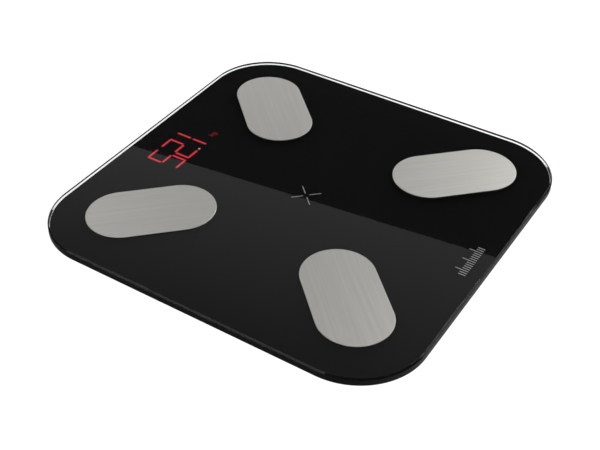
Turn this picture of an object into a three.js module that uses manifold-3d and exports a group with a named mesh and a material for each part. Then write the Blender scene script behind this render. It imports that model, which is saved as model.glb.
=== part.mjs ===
// Digital bathroom scale: a toughened-glass platform with four bonded electrode
// pads, on an inset plastic base that stands on four load-cell feet.
// Millimetres. +Z up, origin under the centre on the standing surface,
// +Y towards the display edge, +X to the right of a person facing the display.

import * as THREE from 'three';
import { mergeVertices } from 'three/addons/utils/BufferGeometryUtils.js';
import Module from 'manifold-3d';

const wasm = await Module();
wasm.setup();

// ---------------------------------------------------------------- driving sizes

// Platform glass
const SIDE = 260;
const CORNER_R = 44.4;
const GLASS_T = 6;
const GLASS_CHAMFER = 1;

// Layers between glass and base
const PRINT_MARGIN = 1.2;
const PRINT_T = 0.1;
const TAPE_T = 0.6;
const TAPE_W = 3.7;
const TAPE_PAD = 38;
const WINDOW_LAP = 1.5;
const BOND = 0.05;

// Electrode pads
const PAD_L = 83;
const PAD_W = 46;
const PAD_T = 0.5;
const PAD_CHAMFER = 0.2;
const PAD_INSET = 59;
const STUD_FROM_PAD_END = 16;
const STUD_R = 2;
const STUD_HEAD_R = 3.6;
const STUD_HEAD_T = 1.4;
const STUD_HOLE_R = 2.5;
const STUD_PRINT_GAP = 1;

// Base shell
const BASE_INSET = 12;
const BASE_BOTTOM = 4;
const BASE_ROUND_W = 11;
const BASE_ROUND_H = 7;
const BASE_ROUND_STEPS = 4;
const WALL = 2.2;
const FLOOR_T = 2;
const RIB_T = 1.4;
const RIB_H = 3;
const CHANNEL_W = 1.2;
const CHANNEL_D = 0.6;
const LABEL_W = 68;
const LABEL_H = 22;
const LABEL_D = 0.3;
const LABEL_FROM_DOOR = 22;

// Battery bay: three AAA cells side by side
const CELL_D = 10.5;
const CELL_L = 44.5;
const CELL_COUNT = 3;
const CELL_GAP = 0.9;
const CELL_HEADROOM = 0.25;
const CELL_EDGE = 0.5;
const NUB_R = 1.9;
const NUB_L = 0.8;
const BAY_Y = -38;
const BAY_END = 3.8;
const BAY_SIDE = 0.9;
const BAY_WALL = 1.6;
const BAY_ROOF = 0.75;
const CONTACT_T = 0.4;
const CONTACT_CLEAR = 0.3;
const CONTACT_SHORT = 1;
const CONE_TIP_R = 1.5;
const CONE_ROOT_R = 3;

// Battery door
const DOOR_T = 1.5;
const DOOR_OVERLAP = 4.4;
const DOOR_GAP = 0.4;
const DOOR_CORNER = 3;
const DOOR_LIFT = 0.2;
const LEDGE_T = 1.8;
const HINGE_IN = 0.5;
const HINGE_DOWN = 1.1;
const TAB_W = 8;
const TAB_X = 17;
const TAB_REACH = 2.2;
const TAB_T = 1;
const TAB_ROOT = 1.5;
const TAB_SWING_BACK = 0.9;
const TAB_SWING_IN = 2.8;
const TAB_SWING_UP = 2.6;
const LATCH_W = 14;
const LATCH_SLOT = 1.2;
const LATCH_L = 9;
const LATCH_HINGE = 2;
const LATCH_THIN = 0.5;
const LIP_REACH = 0.2;
const LIP_T = 0.7;
const SCOOP_W = 18;
const SCOOP_H = 7;
const SCOOP_D = 1.1;
const SCOOP_OUT = 1.5;

// Feet and load cells
const FOOT_INSET = 34;
const FOOT_R = 18;
const FOOT_GAP = 0.5;
const FOOT_PLATE_T = 3;
const RUBBER_T = 1.95;
const RUBBER_R = 16;
const RUBBER_EDGE = 0.6;
const FOOT_EDGE = 0.8;
const FOOT_RING_T = 2;
const FOOT_RING_H = 2;
const CELL_PLATE = 33;
const CELL_PLATE_T = 2.45;
const CELL_PLATE_Z = 9.55;
const TONGUE_W = 14;
const TONGUE_SLOT = 2;
const TONGUE_TIP = 10;
const TONGUE_ROOT = 12;
const GAUGE_L = 6;
const GAUGE_W = 7;
const GAUGE_T = 0.5;
const BOSS_R = 4;
const CARRIER = 40;
const CARRIER_CAVITY = 26;
const CARRIER_CORNER = 2.5;
const CARRIER_ROOF = 2;
const CARRIER_NOTCH = 6;
const SEAT_CLEAR = 0.3;
const SEAT_LAP = 2.6;
const POCKET_CLEAR = 0.35;

// Display
const DISPLAY_X = 2;
const DISPLAY_W = 60;
const DISPLAY_D = 28;
const DISPLAY_CLEAR = 0.7;
const FILTER_T = 0.55;
const DIFFUSER_T = 0.35;
const REFLECTOR_T = 3.2;
const DIGIT_H = 23;
const DIGIT_W = 10.8;
const SEGMENT_W = 1.7;
const DIGIT_COUNT = 3;
const DIGIT_PITCH = 14.3;
const DIGIT_EDGE = 11;
const UNIT_W = 7;
const UNIT_H = 5;
const UNIT_EDGE = 6;
const SEGMENT_GAP = 0.6;

// Boards and button
const BOARD_T = 1.2;
const BOARD_W = 76;
const BOARD_D = 40;
const BOARD_Z = 10.5;
const BOARD_GAP = 8;
const POST_R = 3;
const POST_EDGE = 1;
const SCREW_R = 1.1;
const SCREW_HEAD_R = 2.4;
const SCREW_HEAD_T = 1.5;
const SCREW_L = 4.5;
const SCREW_BITE = 0.2;
const SCREW_CLEAR = 0.3;
const SCREW_POINT = 0.8;
const BUTTON_R = 4.5;
const BUTTON_GAP = 0.35;
const BUTTON_X = 22;
const SWITCH_SIDE = 6;
const SWITCH_T = 2.1;
const BUTTON_EDGE = 0.5;
const BUTTON_FLANGE = 1.5;
const BUTTON_TRAVEL_GAP = 1.1;
const BUTTON_STEM_R = 2;
const CHIP_SIDE = 10;
const CHIP_T = 1.2;
const CHIP_X = -12;
const RADIO_W = 18;
const RADIO_D = 13;
const RADIO_T = 2;
const RADIO_X = 12;
const RADIO_Y = 6;
const LEAD_R = 0.9;
const LEAD_HOLE_GAP = 0.6;
const LEAD_IN = 2;
const RIBBON_W = 16;
const RIBBON_T = 0.5;

// How far a cutter runs past a face, and how far an added feature starts inside it
const CUT = 1;
const SINK = 0.5;

// Fineness of round shapes
const ROUND_FINE = 16;
const ROUND_SHELL = 10;
const ROUND_COARSE = 6;
const ROUND_RING = 32;
const ROUND_ROD = 16;
const ROUND_SMALL = 12;
const ROUND_WIRE = 6;

// ---------------------------------------------------------------- derived sizes

const HALF = SIDE / 2;
const FLOOR_TOP = BASE_BOTTOM + FLOOR_T;
const DOOR_TOP = BASE_BOTTOM + DOOR_T;
const LEDGE_Z = DOOR_TOP + DOOR_LIFT;
const BATTERY_Z = DOOR_TOP + DOOR_LIFT + CELL_D / 2;
const BAY_TOP = BATTERY_Z + CELL_D / 2 + CELL_HEADROOM;
const RIM_TOP = BAY_TOP + BAY_ROOF;
const TAPE_Z = RIM_TOP + BOND;
const PRINT_Z = TAPE_Z + TAPE_T + BOND;
const GLASS_Z = PRINT_Z + PRINT_T + BOND;
const GLASS_TOP = GLASS_Z + GLASS_T;
const PAD_Z = GLASS_TOP + BOND;

const BASE_HALF = HALF - BASE_INSET;
const BASE_CORNER = CORNER_R - BASE_INSET;
const FOOT_AT = BASE_HALF - FOOT_INSET;
const PAD_CENTRE = HALF - PAD_INSET;
const STUD_RADIAL = PAD_CENTRE * Math.SQRT2 - PAD_L / 2 + STUD_FROM_PAD_END;
const BAY_HALF_X = CELL_L / 2 + BAY_END;
const BAY_HALF_Y = (CELL_COUNT * CELL_D + (CELL_COUNT - 1) * CELL_GAP) / 2 + BAY_SIDE;
const DOOR_HALF_X = BAY_HALF_X + DOOR_OVERLAP / 2;
const DOOR_HALF_Y = BAY_HALF_Y + DOOR_OVERLAP;
const HINGE_Y = BAY_Y - DOOR_HALF_Y + HINGE_IN;
const HINGE_Z = DOOR_TOP - HINGE_DOWN;

const DISPLAY_Y = BASE_HALF - TAPE_W - DISPLAY_CLEAR - DISPLAY_D / 2;
const FILTER_Z = PRINT_Z - BOND - FILTER_T;
const DIFFUSER_Z = FILTER_Z - BOND - DIFFUSER_T;
const REFLECTOR_Z = DIFFUSER_Z - BOND - REFLECTOR_T;
const DISPLAY_BOARD_Z = REFLECTOR_Z - BOND - BOARD_T;
const BOARD_Y = DISPLAY_Y - DISPLAY_D / 2 - BOARD_GAP - BOARD_D / 2;
const BUTTON_Y = BOARD_Y;
const LEAD_Z = FLOOR_TOP + RIB_H + 1.6;
const SWITCH_Z = BOARD_Z - BOND - SWITCH_T;

const CORNERS = [
  { name: 'toe_left', sx: -1, sy: 1 },
  { name: 'toe_right', sx: 1, sy: 1 },
  { name: 'heel_left', sx: -1, sy: -1 },
  { name: 'heel_right', sx: 1, sy: -1 },
];

// ---------------------------------------------------------------- materials

const finish = (color, roughness, metalness) =>
  new THREE.MeshStandardMaterial({ color, roughness, metalness });

const GLASS = finish(0x9fb4ae, 0.04, 0);
const BLACK_PRINT = finish(0x101112, 0.5, 0);
const STEEL = finish(0xa3a29e, 0.35, 1);
const BRASS = finish(0xb08d4f, 0.35, 1);
const SHELL = finish(0x1d1e20, 0.6, 0);
const WHITE_PLASTIC = finish(0xe9e9e6, 0.5, 0);
const SMOKE = finish(0x1a0d0d, 0.15, 0);
const RUBBER = finish(0x2a2b2c, 0.9, 0);
const BOARD = finish(0x1d5a37, 0.5, 0);
const CHIP = finish(0x18191b, 0.5, 0);
const FOAM = finish(0x3a3b3c, 0.95, 0);
const BATTERY = finish(0x8f9296, 0.35, 0.6);
const WIRE = finish(0xb9b9b4, 0.6, 0);

// ---------------------------------------------------------------- solids

function solid(geometry) {
  const bare = geometry.clone();
  bare.deleteAttribute('normal');
  bare.deleteAttribute('uv');
  const merged = mergeVertices(bare.index ? bare.toNonIndexed() : bare, 1e-4);
  return new wasm.Manifold(new wasm.Mesh({
    numProp: 3,
    vertProperties: new Float32Array(merged.attributes.position.array),
    triVerts: new Uint32Array(merged.index.array),
  }));
}

function toGeometry(body) {
  const mesh = body.getMesh();
  const geometry = new THREE.BufferGeometry();
  const points = new THREE.BufferAttribute(new Float32Array(mesh.vertProperties), 3);
  geometry.setAttribute('position', points);
  geometry.setIndex(new THREE.BufferAttribute(new Uint32Array(mesh.triVerts), 1));
  geometry.computeVertexNormals();
  return geometry;
}

function plate(shape, z0, z1, curveSegments = ROUND_COARSE) {
  const options = { depth: z1 - z0, bevelEnabled: false, curveSegments };
  const geometry = new THREE.ExtrudeGeometry(shape, options);
  return solid(geometry.translate(0, 0, z0));
}

// A plate whose two rims are cut back by `width` over `height`, in `steps`.
function rimmedPlate(shape, z0, z1, width, height, steps, curveSegments) {
  const geometry = new THREE.ExtrudeGeometry(shape, {
    depth: z1 - z0 - 2 * height,
    bevelThickness: height,
    bevelSize: width,
    bevelOffset: -width,
    bevelSegments: steps,
    curveSegments,
  });
  return solid(geometry.translate(0, 0, z0 + height));
}

function box(x0, x1, y0, y1, z0, z1) {
  const geometry = new THREE.BoxGeometry(Math.abs(x1 - x0), Math.abs(y1 - y0), z1 - z0);
  return solid(geometry.translate((x0 + x1) / 2, (y0 + y1) / 2, (z0 + z1) / 2));
}

function centredBox(x, y, width, depth, z0, z1) {
  return box(x - width / 2, x + width / 2, y - depth / 2, y + depth / 2, z0, z1);
}

function rod(x, y, radius, z0, z1, sides = ROUND_ROD) {
  const geometry = new THREE.CylinderGeometry(radius, radius, z1 - z0, sides);
  geometry.rotateX(Math.PI / 2);
  return solid(geometry.translate(x, y, (z0 + z1) / 2));
}

function ringWall(x, y, inner, outer, z0, z1) {
  return rod(x, y, outer, z0, z1, ROUND_RING).subtract(rod(x, y, inner, z0 - 1, z1 + 1, ROUND_RING));
}

// A turned piece: `profile` is a list of [radius, height] from axis to axis.
function turned(profile, x, y, sides = ROUND_ROD) {
  const points = profile.map(([radius, height]) => new THREE.Vector2(radius, height));
  const geometry = new THREE.LatheGeometry(points, sides);
  geometry.rotateX(Math.PI / 2);
  return solid(geometry.translate(x, y, 0));
}

function roundedRect(halfX, halfY, radius, x = 0, y = 0) {
  const shape = new THREE.Shape();
  const right = x + halfX - radius;
  const left = x - halfX + radius;
  const back = y + halfY - radius;
  const front = y - halfY + radius;
  shape.absarc(right, back, radius, 0, Math.PI / 2);
  shape.absarc(left, back, radius, Math.PI / 2, Math.PI);
  shape.absarc(left, front, radius, Math.PI, 1.5 * Math.PI);
  shape.absarc(right, front, radius, 1.5 * Math.PI, 2 * Math.PI);
  shape.closePath();
  return shape;
}

// A straight slot outline with full-round ends, lying along `angle`.
function stadium(x, y, length, width, angle) {
  const reach = (length - width) / 2;
  const dx = Math.cos(angle) * reach;
  const dy = Math.sin(angle) * reach;
  const shape = new THREE.Shape();
  shape.absarc(x + dx, y + dy, width / 2, angle - Math.PI / 2, angle + Math.PI / 2);
  shape.absarc(x - dx, y - dy, width / 2, angle + Math.PI / 2, angle + 1.5 * Math.PI);
  shape.closePath();
  return shape;
}

// A round lead through `points`, each [x, y, z].
function wire(points) {
  const corners = points.map((point) => new THREE.Vector3(...point));
  const path = new THREE.CatmullRomCurve3(corners, false, 'centripetal');
  const outline = [];
  for (let i = 0; i < ROUND_WIRE; i += 1) {
    const turn = (2 * Math.PI * i) / ROUND_WIRE;
    outline.push(new THREE.Vector2(LEAD_R * Math.cos(turn), LEAD_R * Math.sin(turn)));
  }
  const steps = Math.min(24, Math.ceil(path.getLength() / (6 * LEAD_R)));
  return solid(new THREE.ExtrudeGeometry(new THREE.Shape(outline), { extrudePath: path, steps }));
}

const scale = new THREE.Group();
scale.name = 'digital_bathroom_scale';

function add(name, body, material) {
  const mesh = new THREE.Mesh(toGeometry(body), material);
  mesh.name = name;
  scale.add(mesh);
}

// ---------------------------------------------------------------- platform

function studPlace({ sx, sy }) {
  const step = STUD_RADIAL * Math.SQRT1_2;
  return [sx * step, sy * step];
}

function glassPlatform() {
  const outline = roundedRect(HALF, HALF, CORNER_R);
  let glass = rimmedPlate(outline, GLASS_Z, GLASS_TOP, GLASS_CHAMFER, GLASS_CHAMFER, 1, ROUND_FINE);
  for (const corner of CORNERS) {
    const [x, y] = studPlace(corner);
    glass = glass.subtract(rod(x, y, STUD_HOLE_R, GLASS_Z - CUT, GLASS_TOP + CUT));
  }
  return glass;
}

function backPrint() {
  const half = HALF - GLASS_CHAMFER - PRINT_MARGIN;
  const radius = CORNER_R - GLASS_CHAMFER - PRINT_MARGIN;
  let print = plate(roundedRect(half, half, radius), PRINT_Z, PRINT_Z + PRINT_T, ROUND_FINE);
  for (const corner of CORNERS) {
    const [x, y] = studPlace(corner);
    print = print.subtract(rod(x, y, STUD_HEAD_R + STUD_PRINT_GAP, PRINT_Z - CUT, GLASS_Z));
  }
  const windowW = DISPLAY_W - 2 * WINDOW_LAP;
  const windowD = DISPLAY_D - 2 * WINDOW_LAP;
  return print.subtract(centredBox(DISPLAY_X, DISPLAY_Y, windowW, windowD, PRINT_Z - CUT, GLASS_Z));
}

function glassTape() {
  const outer = roundedRect(BASE_HALF, BASE_HALF, BASE_CORNER);
  const inner = roundedRect(BASE_HALF - TAPE_W, BASE_HALF - TAPE_W, BASE_CORNER - TAPE_W);
  let tape = plate(outer, TAPE_Z, TAPE_Z + TAPE_T);
  tape = tape.subtract(plate(inner, TAPE_Z - CUT, TAPE_Z + TAPE_T + CUT));
  const pad = TAPE_PAD / 2;
  for (const { sx, sy } of CORNERS) {
    const reach = BASE_HALF - FOOT_AT + pad - TAPE_W / 2;
    const square = box(
      sx * (FOOT_AT - pad), sx * (FOOT_AT - pad + reach),
      sy * (FOOT_AT - pad), sy * (FOOT_AT - pad + reach),
      TAPE_Z, TAPE_Z + TAPE_T,
    );
    tape = tape.add(square.intersect(plate(outer, TAPE_Z - CUT, TAPE_Z + TAPE_T + CUT)));
  }
  return tape;
}

function electrodePad({ sx, sy }) {
  const angle = Math.atan2(sy, sx);
  const outline = stadium(sx * PAD_CENTRE, sy * PAD_CENTRE, PAD_L, PAD_W, angle);
  const pad = rimmedPlate(outline, PAD_Z - PAD_T, PAD_Z + PAD_T, PAD_CHAMFER, PAD_CHAMFER, 1, ROUND_FINE);
  return pad.subtract(box(-SIDE, SIDE, -SIDE, SIDE, PAD_Z - 2 * PAD_T, PAD_Z));
}

function contactStud(corner) {
  const [x, y] = studPlace(corner);
  const headTop = GLASS_Z - BOND;
  const profile = [
    [0, headTop - STUD_HEAD_T],
    [STUD_HEAD_R, headTop - STUD_HEAD_T],
    [STUD_HEAD_R, headTop],
    [STUD_R, headTop],
    [STUD_R, GLASS_TOP],
    [0, GLASS_TOP],
  ];
  return turned(profile, x, y);
}

// ---------------------------------------------------------------- base shell

function bowl(inset, bottom, roundW, roundH, top) {
  const outline = roundedRect(BASE_HALF - inset, BASE_HALF - inset, BASE_CORNER - inset);
  const tall = top + roundH + CUT;
  const full = rimmedPlate(outline, bottom, tall, roundW, roundH, BASE_ROUND_STEPS, ROUND_SHELL);
  return full.subtract(box(-SIDE, SIDE, -SIDE, SIDE, top, tall + CUT));
}

// Posts under the corners of one load cell and its carrier.
function cellPosts(shell, { sx, sy }) {
  const inner = CELL_PLATE / 2 - SEAT_LAP;
  const outer = CARRIER / 2 - BOND;
  let posts = shell;
  for (const px of [-1, 1]) {
    for (const py of [-1, 1]) {
      const x0 = sx * FOOT_AT + px * inner;
      const y0 = sy * FOOT_AT + py * inner;
      const x1 = sx * FOOT_AT + px * outer;
      const y1 = sy * FOOT_AT + py * outer;
      posts = posts.add(box(x0, x1, y0, y1, FLOOR_TOP - SINK, CELL_PLATE_Z - BOND));
    }
  }
  return posts;
}

function footPocket(shell, corner) {
  const x = corner.sx * FOOT_AT;
  const y = corner.sy * FOOT_AT;
  const inner = FOOT_R + FOOT_GAP;
  const rim = ringWall(x, y, inner, inner + RIB_T, FLOOR_TOP - SINK, CELL_PLATE_Z - POCKET_CLEAR);
  const posted = cellPosts(shell.add(rim), corner);
  return posted.subtract(rod(x, y, inner, BASE_BOTTOM - CUT, CELL_PLATE_Z, ROUND_RING));
}

function batteryBay(shell) {
  const outerX = BAY_HALF_X + BAY_WALL;
  const outerY = BAY_HALF_Y + BAY_WALL;
  const rimX = DOOR_HALF_X + DOOR_GAP + BAY_WALL;
  const rimY = DOOR_HALF_Y + DOOR_GAP + BAY_WALL;
  const leadHole = LEAD_R + LEAD_HOLE_GAP;
  const recess = roundedRect(DOOR_HALF_X + DOOR_GAP, DOOR_HALF_Y + DOOR_GAP, DOOR_CORNER, 0, BAY_Y);
  let bay = shell.add(centredBox(0, BAY_Y, 2 * outerX, 2 * outerY, FLOOR_TOP - SINK, RIM_TOP));
  bay = bay.add(centredBox(0, BAY_Y, 2 * rimX, 2 * rimY, FLOOR_TOP - SINK, LEDGE_Z + LEDGE_T));
  bay = bay.subtract(centredBox(0, BAY_Y, 2 * BAY_HALF_X, 2 * BAY_HALF_Y, BASE_BOTTOM - CUT, BAY_TOP));
  bay = bay.subtract(plate(recess, BASE_BOTTOM - CUT, LEDGE_Z));
  for (const side of [-1, 1]) {
    const pocketX = side * TAB_X;
    const slotHalf = TAB_W / 2 + DOOR_GAP;
    const tabSlot = box(
      pocketX - slotHalf, pocketX + slotHalf,
      HINGE_Y - TAB_REACH - HINGE_IN - TAB_SWING_BACK, HINGE_Y + TAB_SWING_IN,
      DOOR_TOP - DOOR_LIFT, LEDGE_Z + TAB_SWING_UP,
    );
    bay = bay.subtract(tabSlot);
    const holeX = side * (BAY_HALF_X - LEAD_IN);
    const hole = box(
      holeX - leadHole, holeX + leadHole,
      BAY_Y + BAY_HALF_Y - CUT, BAY_Y + outerY + CUT,
      BATTERY_Z - leadHole, BATTERY_Z + leadHole,
    );
    bay = bay.subtract(hole);
  }
  const scoop = stadium(0, BAY_Y + DOOR_HALF_Y + DOOR_GAP + SCOOP_OUT, SCOOP_W, SCOOP_H, 0);
  return bay.subtract(plate(scoop, BASE_BOTTOM - CUT, BASE_BOTTOM + SCOOP_D));
}

function boardPosts() {
  const x = BOARD_W / 2 - POST_R - POST_EDGE;
  const y = BOARD_D / 2 - POST_R - POST_EDGE;
  return [[-x, BOARD_Y + y], [x, BOARD_Y + y], [-x, BOARD_Y - y]];
}

function displayPosts() {
  const x = DISPLAY_W / 2 + POST_R + POST_EDGE;
  return [[DISPLAY_X - x, DISPLAY_Y], [DISPLAY_X + x, DISPLAY_Y]];
}

function posts(shell) {
  let result = shell;
  const rows = [
    { places: boardPosts(), top: BOARD_Z - BOND },
    { places: displayPosts(), top: DISPLAY_BOARD_Z - BOND },
  ];
  for (const { places, top } of rows) {
    for (const [x, y] of places) {
      result = result.add(rod(x, y, POST_R, FLOOR_TOP - SINK, top));
      result = result.subtract(rod(x, y, SCREW_R + SCREW_BITE, top - SCREW_L, top + CUT));
    }
  }
  return result;
}

function buttonGuide(shell) {
  const hole = BUTTON_R + BUTTON_GAP;
  const inner = BUTTON_R + BUTTON_FLANGE + BUTTON_GAP;
  const guide = ringWall(BUTTON_X, BUTTON_Y, inner, inner + RIB_T, FLOOR_TOP - SINK, FLOOR_TOP + RIB_T);
  return shell.add(guide).subtract(rod(BUTTON_X, BUTTON_Y, hole, BASE_BOTTOM - CUT, FLOOR_TOP + CUT));
}

// Low ribs on the floor, which stop short of the bay, pockets and posts.
function floorRibs(shell) {
  const bayRim = DOOR_HALF_Y + DOOR_GAP + BAY_WALL / 2;
  const boardLine = BOARD_Y - BOARD_D / 2 - 2;
  const long = BASE_HALF - BASE_ROUND_W;
  const z0 = FLOOR_TOP - SINK;
  const z1 = FLOOR_TOP + RIB_H;
  const side = FOOT_AT - CARRIER / 2 - 2 * RIB_T;
  let ribbed = shell;
  for (const s of [-1, 1]) {
    ribbed = ribbed.add(box(s * side, s * (side - RIB_T), -long, long, z0, z1));
    ribbed = ribbed.add(box(s * (DOOR_HALF_X + RIB_T), s * side, BAY_Y, BAY_Y + RIB_T, z0, z1));
  }
  ribbed = ribbed.add(box(-side, side, boardLine, boardLine - RIB_T, z0, z1));
  return ribbed.add(box(-RIB_T / 2, RIB_T / 2, -long, BAY_Y - bayRim, z0, z1));
}

// Shallow channels moulded round each foot, and a blank recess for a label.
function undersideChannels(shell) {
  const below = BASE_BOTTOM - CUT;
  const inner = FOOT_R + FOOT_GAP + 2 * CHANNEL_W;
  let grooved = shell;
  for (const { sx, sy } of CORNERS) {
    const x = sx * FOOT_AT;
    const y = sy * FOOT_AT;
    grooved = grooved.subtract(ringWall(x, y, inner, inner + CHANNEL_W, below, BASE_BOTTOM + CHANNEL_D));
  }
  const labelY = BAY_Y - DOOR_HALF_Y - LABEL_FROM_DOOR;
  const label = roundedRect(LABEL_W / 2, LABEL_H / 2, 2, 0, labelY);
  return grooved.subtract(plate(label, below, BASE_BOTTOM + LABEL_D));
}

function baseShell() {
  const outer = bowl(0, BASE_BOTTOM, BASE_ROUND_W, BASE_ROUND_H, RIM_TOP);
  const hollow = bowl(WALL, FLOOR_TOP, BASE_ROUND_W - WALL, BASE_ROUND_H - FLOOR_T, RIM_TOP + CUT);
  let shell = floorRibs(outer.subtract(hollow));
  shell = batteryBay(shell);
  shell = posts(shell);
  for (const corner of CORNERS) {
    shell = footPocket(shell, corner);
  }
  return undersideChannels(buttonGuide(shell));
}

// ---------------------------------------------------------------- load cells and feet

function loadCell({ sx, sy }) {
  const x = sx * FOOT_AT;
  const y = sy * FOOT_AT;
  const top = CELL_PLATE_Z + CELL_PLATE_T;
  const below = CELL_PLATE_Z - CUT;
  const above = top + CUT;
  const legOut = TONGUE_W / 2 + TONGUE_SLOT;
  const tip = x - sx * TONGUE_TIP;
  const root = x + sx * TONGUE_ROOT;
  let cell = centredBox(x, y, CELL_PLATE, CELL_PLATE, CELL_PLATE_Z, top);
  for (const side of [-1, 1]) {
    cell = cell.subtract(box(tip, root, y + (side * TONGUE_W) / 2, y + side * legOut, below, above));
  }
  cell = cell.subtract(box(tip - sx * TONGUE_SLOT, tip, y - legOut, y + legOut, below, above));
  const gaugeX = root - (sx * GAUGE_L) / 2;
  return cell.add(centredBox(gaugeX, y, GAUGE_L, GAUGE_W, top - BOND, top + GAUGE_T));
}

function cellCarrier({ sx, sy }) {
  const x = sx * FOOT_AT;
  const y = sy * FOOT_AT;
  const bottom = CELL_PLATE_Z;
  const seatTop = CELL_PLATE_Z + CELL_PLATE_T + BOND;
  const seat = CELL_PLATE + 2 * SEAT_CLEAR;
  const half = CARRIER / 2;
  const notch = CARRIER_NOTCH / 2;
  let carrier = plate(roundedRect(half, half, CARRIER_CORNER, x, y), bottom, RIM_TOP, 3);
  carrier = carrier.subtract(centredBox(x, y, seat, seat, bottom - CUT, seatTop));
  const roof = RIM_TOP - CARRIER_ROOF;
  carrier = carrier.subtract(centredBox(x, y, CARRIER_CAVITY, CARRIER_CAVITY, bottom, roof));
  return carrier.subtract(box(x - sx * CARRIER, x, y - notch, y + notch, bottom - CUT, seatTop));
}

function footCap({ sx, sy }) {
  const z0 = RUBBER_T + BOND;
  const z1 = z0 + FOOT_PLATE_T;
  const profile = [
    [0, z0],
    [FOOT_R - FOOT_EDGE, z0],
    [FOOT_R, z0 + FOOT_EDGE],
    [FOOT_R, z1],
    [RUBBER_R, z1],
    [RUBBER_R, z1 + FOOT_RING_H],
    [RUBBER_R - FOOT_RING_T, z1 + FOOT_RING_H],
    [RUBBER_R - FOOT_RING_T, z1],
    [BOSS_R, z1],
    [BOSS_R, CELL_PLATE_Z - BOND],
    [0, CELL_PLATE_Z - BOND],
  ];
  return turned(profile, sx * FOOT_AT, sy * FOOT_AT, ROUND_RING);
}

function footRubber({ sx, sy }) {
  const profile = [
    [0, 0],
    [RUBBER_R - RUBBER_EDGE, 0],
    [RUBBER_R, RUBBER_EDGE],
    [RUBBER_R, RUBBER_T],
    [0, RUBBER_T],
  ];
  return turned(profile, sx * FOOT_AT, sy * FOOT_AT, ROUND_RING);
}

// ---------------------------------------------------------------- display

// Lit bars of one seven-segment digit as [x, y, width, height] about its centre.
function digitBars() {
  const halfW = DIGIT_W / 2;
  const halfH = DIGIT_H / 2;
  const flat = DIGIT_W - SEGMENT_W - SEGMENT_GAP;
  const upright = halfH - SEGMENT_W - SEGMENT_GAP;
  const bars = [-halfH, 0, halfH].map((y) => [0, y, flat, SEGMENT_W]);
  for (const x of [-halfW, halfW]) {
    for (const y of [-halfH / 2, halfH / 2]) {
      bars.push([x, y, SEGMENT_W, upright]);
    }
  }
  return bars;
}

function reflector() {
  const top = REFLECTOR_Z + REFLECTOR_T;
  const well = (x, y, width, height) => centredBox(x, y, width, height, REFLECTOR_Z - CUT, top + CUT);
  let block = centredBox(DISPLAY_X, DISPLAY_Y, DISPLAY_W - 2, DISPLAY_D - 1, REFLECTOR_Z, top);
  for (let digit = 0; digit < DIGIT_COUNT; digit += 1) {
    const x = DISPLAY_X - DISPLAY_W / 2 + DIGIT_EDGE + digit * DIGIT_PITCH;
    for (const [dx, dy, width, height] of digitBars()) {
      block = block.subtract(well(x + dx, DISPLAY_Y + dy, width, height));
    }
  }
  const unitX = DISPLAY_X + DISPLAY_W / 2 - UNIT_EDGE;
  const unitY = DISPLAY_Y - (DIGIT_H - UNIT_H) / 2;
  return block.subtract(well(unitX, unitY, UNIT_W, UNIT_H));
}

function displayBoard() {
  const width = DISPLAY_W + 4 * (POST_R + POST_EDGE);
  const top = DISPLAY_BOARD_Z + BOARD_T;
  let board = centredBox(DISPLAY_X, DISPLAY_Y, width, DISPLAY_D - 2, DISPLAY_BOARD_Z, top);
  for (const [x, y] of displayPosts()) {
    board = board.subtract(rod(x, y, SCREW_R + SCREW_CLEAR, DISPLAY_BOARD_Z - CUT, top + CUT));
  }
  return board;
}

// ---------------------------------------------------------------- electronics and power

function mainBoard() {
  const outline = roundedRect(BOARD_W / 2, BOARD_D / 2, 2, 0, BOARD_Y);
  let board = plate(outline, BOARD_Z, BOARD_Z + BOARD_T, 3);
  for (const [x, y] of boardPosts()) {
    board = board.subtract(rod(x, y, SCREW_R + SCREW_CLEAR, BOARD_Z - CUT, BOARD_Z + BOARD_T + CUT));
  }
  return board;
}

function screw(x, y, seat) {
  const profile = [
    [0, seat - SCREW_L + BOARD_T],
    [SCREW_R, seat - SCREW_L + BOARD_T + SCREW_POINT],
    [SCREW_R, seat],
    [SCREW_HEAD_R, seat],
    [SCREW_HEAD_R, seat + SCREW_HEAD_T * 0.6],
    [SCREW_HEAD_R * 0.7, seat + SCREW_HEAD_T],
    [0, seat + SCREW_HEAD_T],
  ];
  return turned(profile, x, y, ROUND_SMALL);
}

function cellAt(index) {
  return BAY_Y + (index - (CELL_COUNT - 1) / 2) * (CELL_D + CELL_GAP);
}

// A cell lying along X, with every second one turned end for end.
function batteryCell(index) {
  const way = index % 2 === 0 ? 1 : -1;
  const end = CELL_L / 2;
  const shoulder = end - NUB_L;
  const radius = CELL_D / 2;
  const profile = [
    [0, -end],
    [radius - CELL_EDGE, -end],
    [radius, -end + CELL_EDGE],
    [radius, shoulder - CELL_EDGE],
    [radius - CELL_EDGE, shoulder],
    [NUB_R, shoulder],
    [NUB_R, end],
    [0, end],
  ];
  const geometry = new THREE.LatheGeometry(profile.map((point) => new THREE.Vector2(...point)), ROUND_ROD);
  geometry.rotateZ((-way * Math.PI) / 2);
  return solid(geometry.translate(0, cellAt(index), BATTERY_Z));
}

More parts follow.
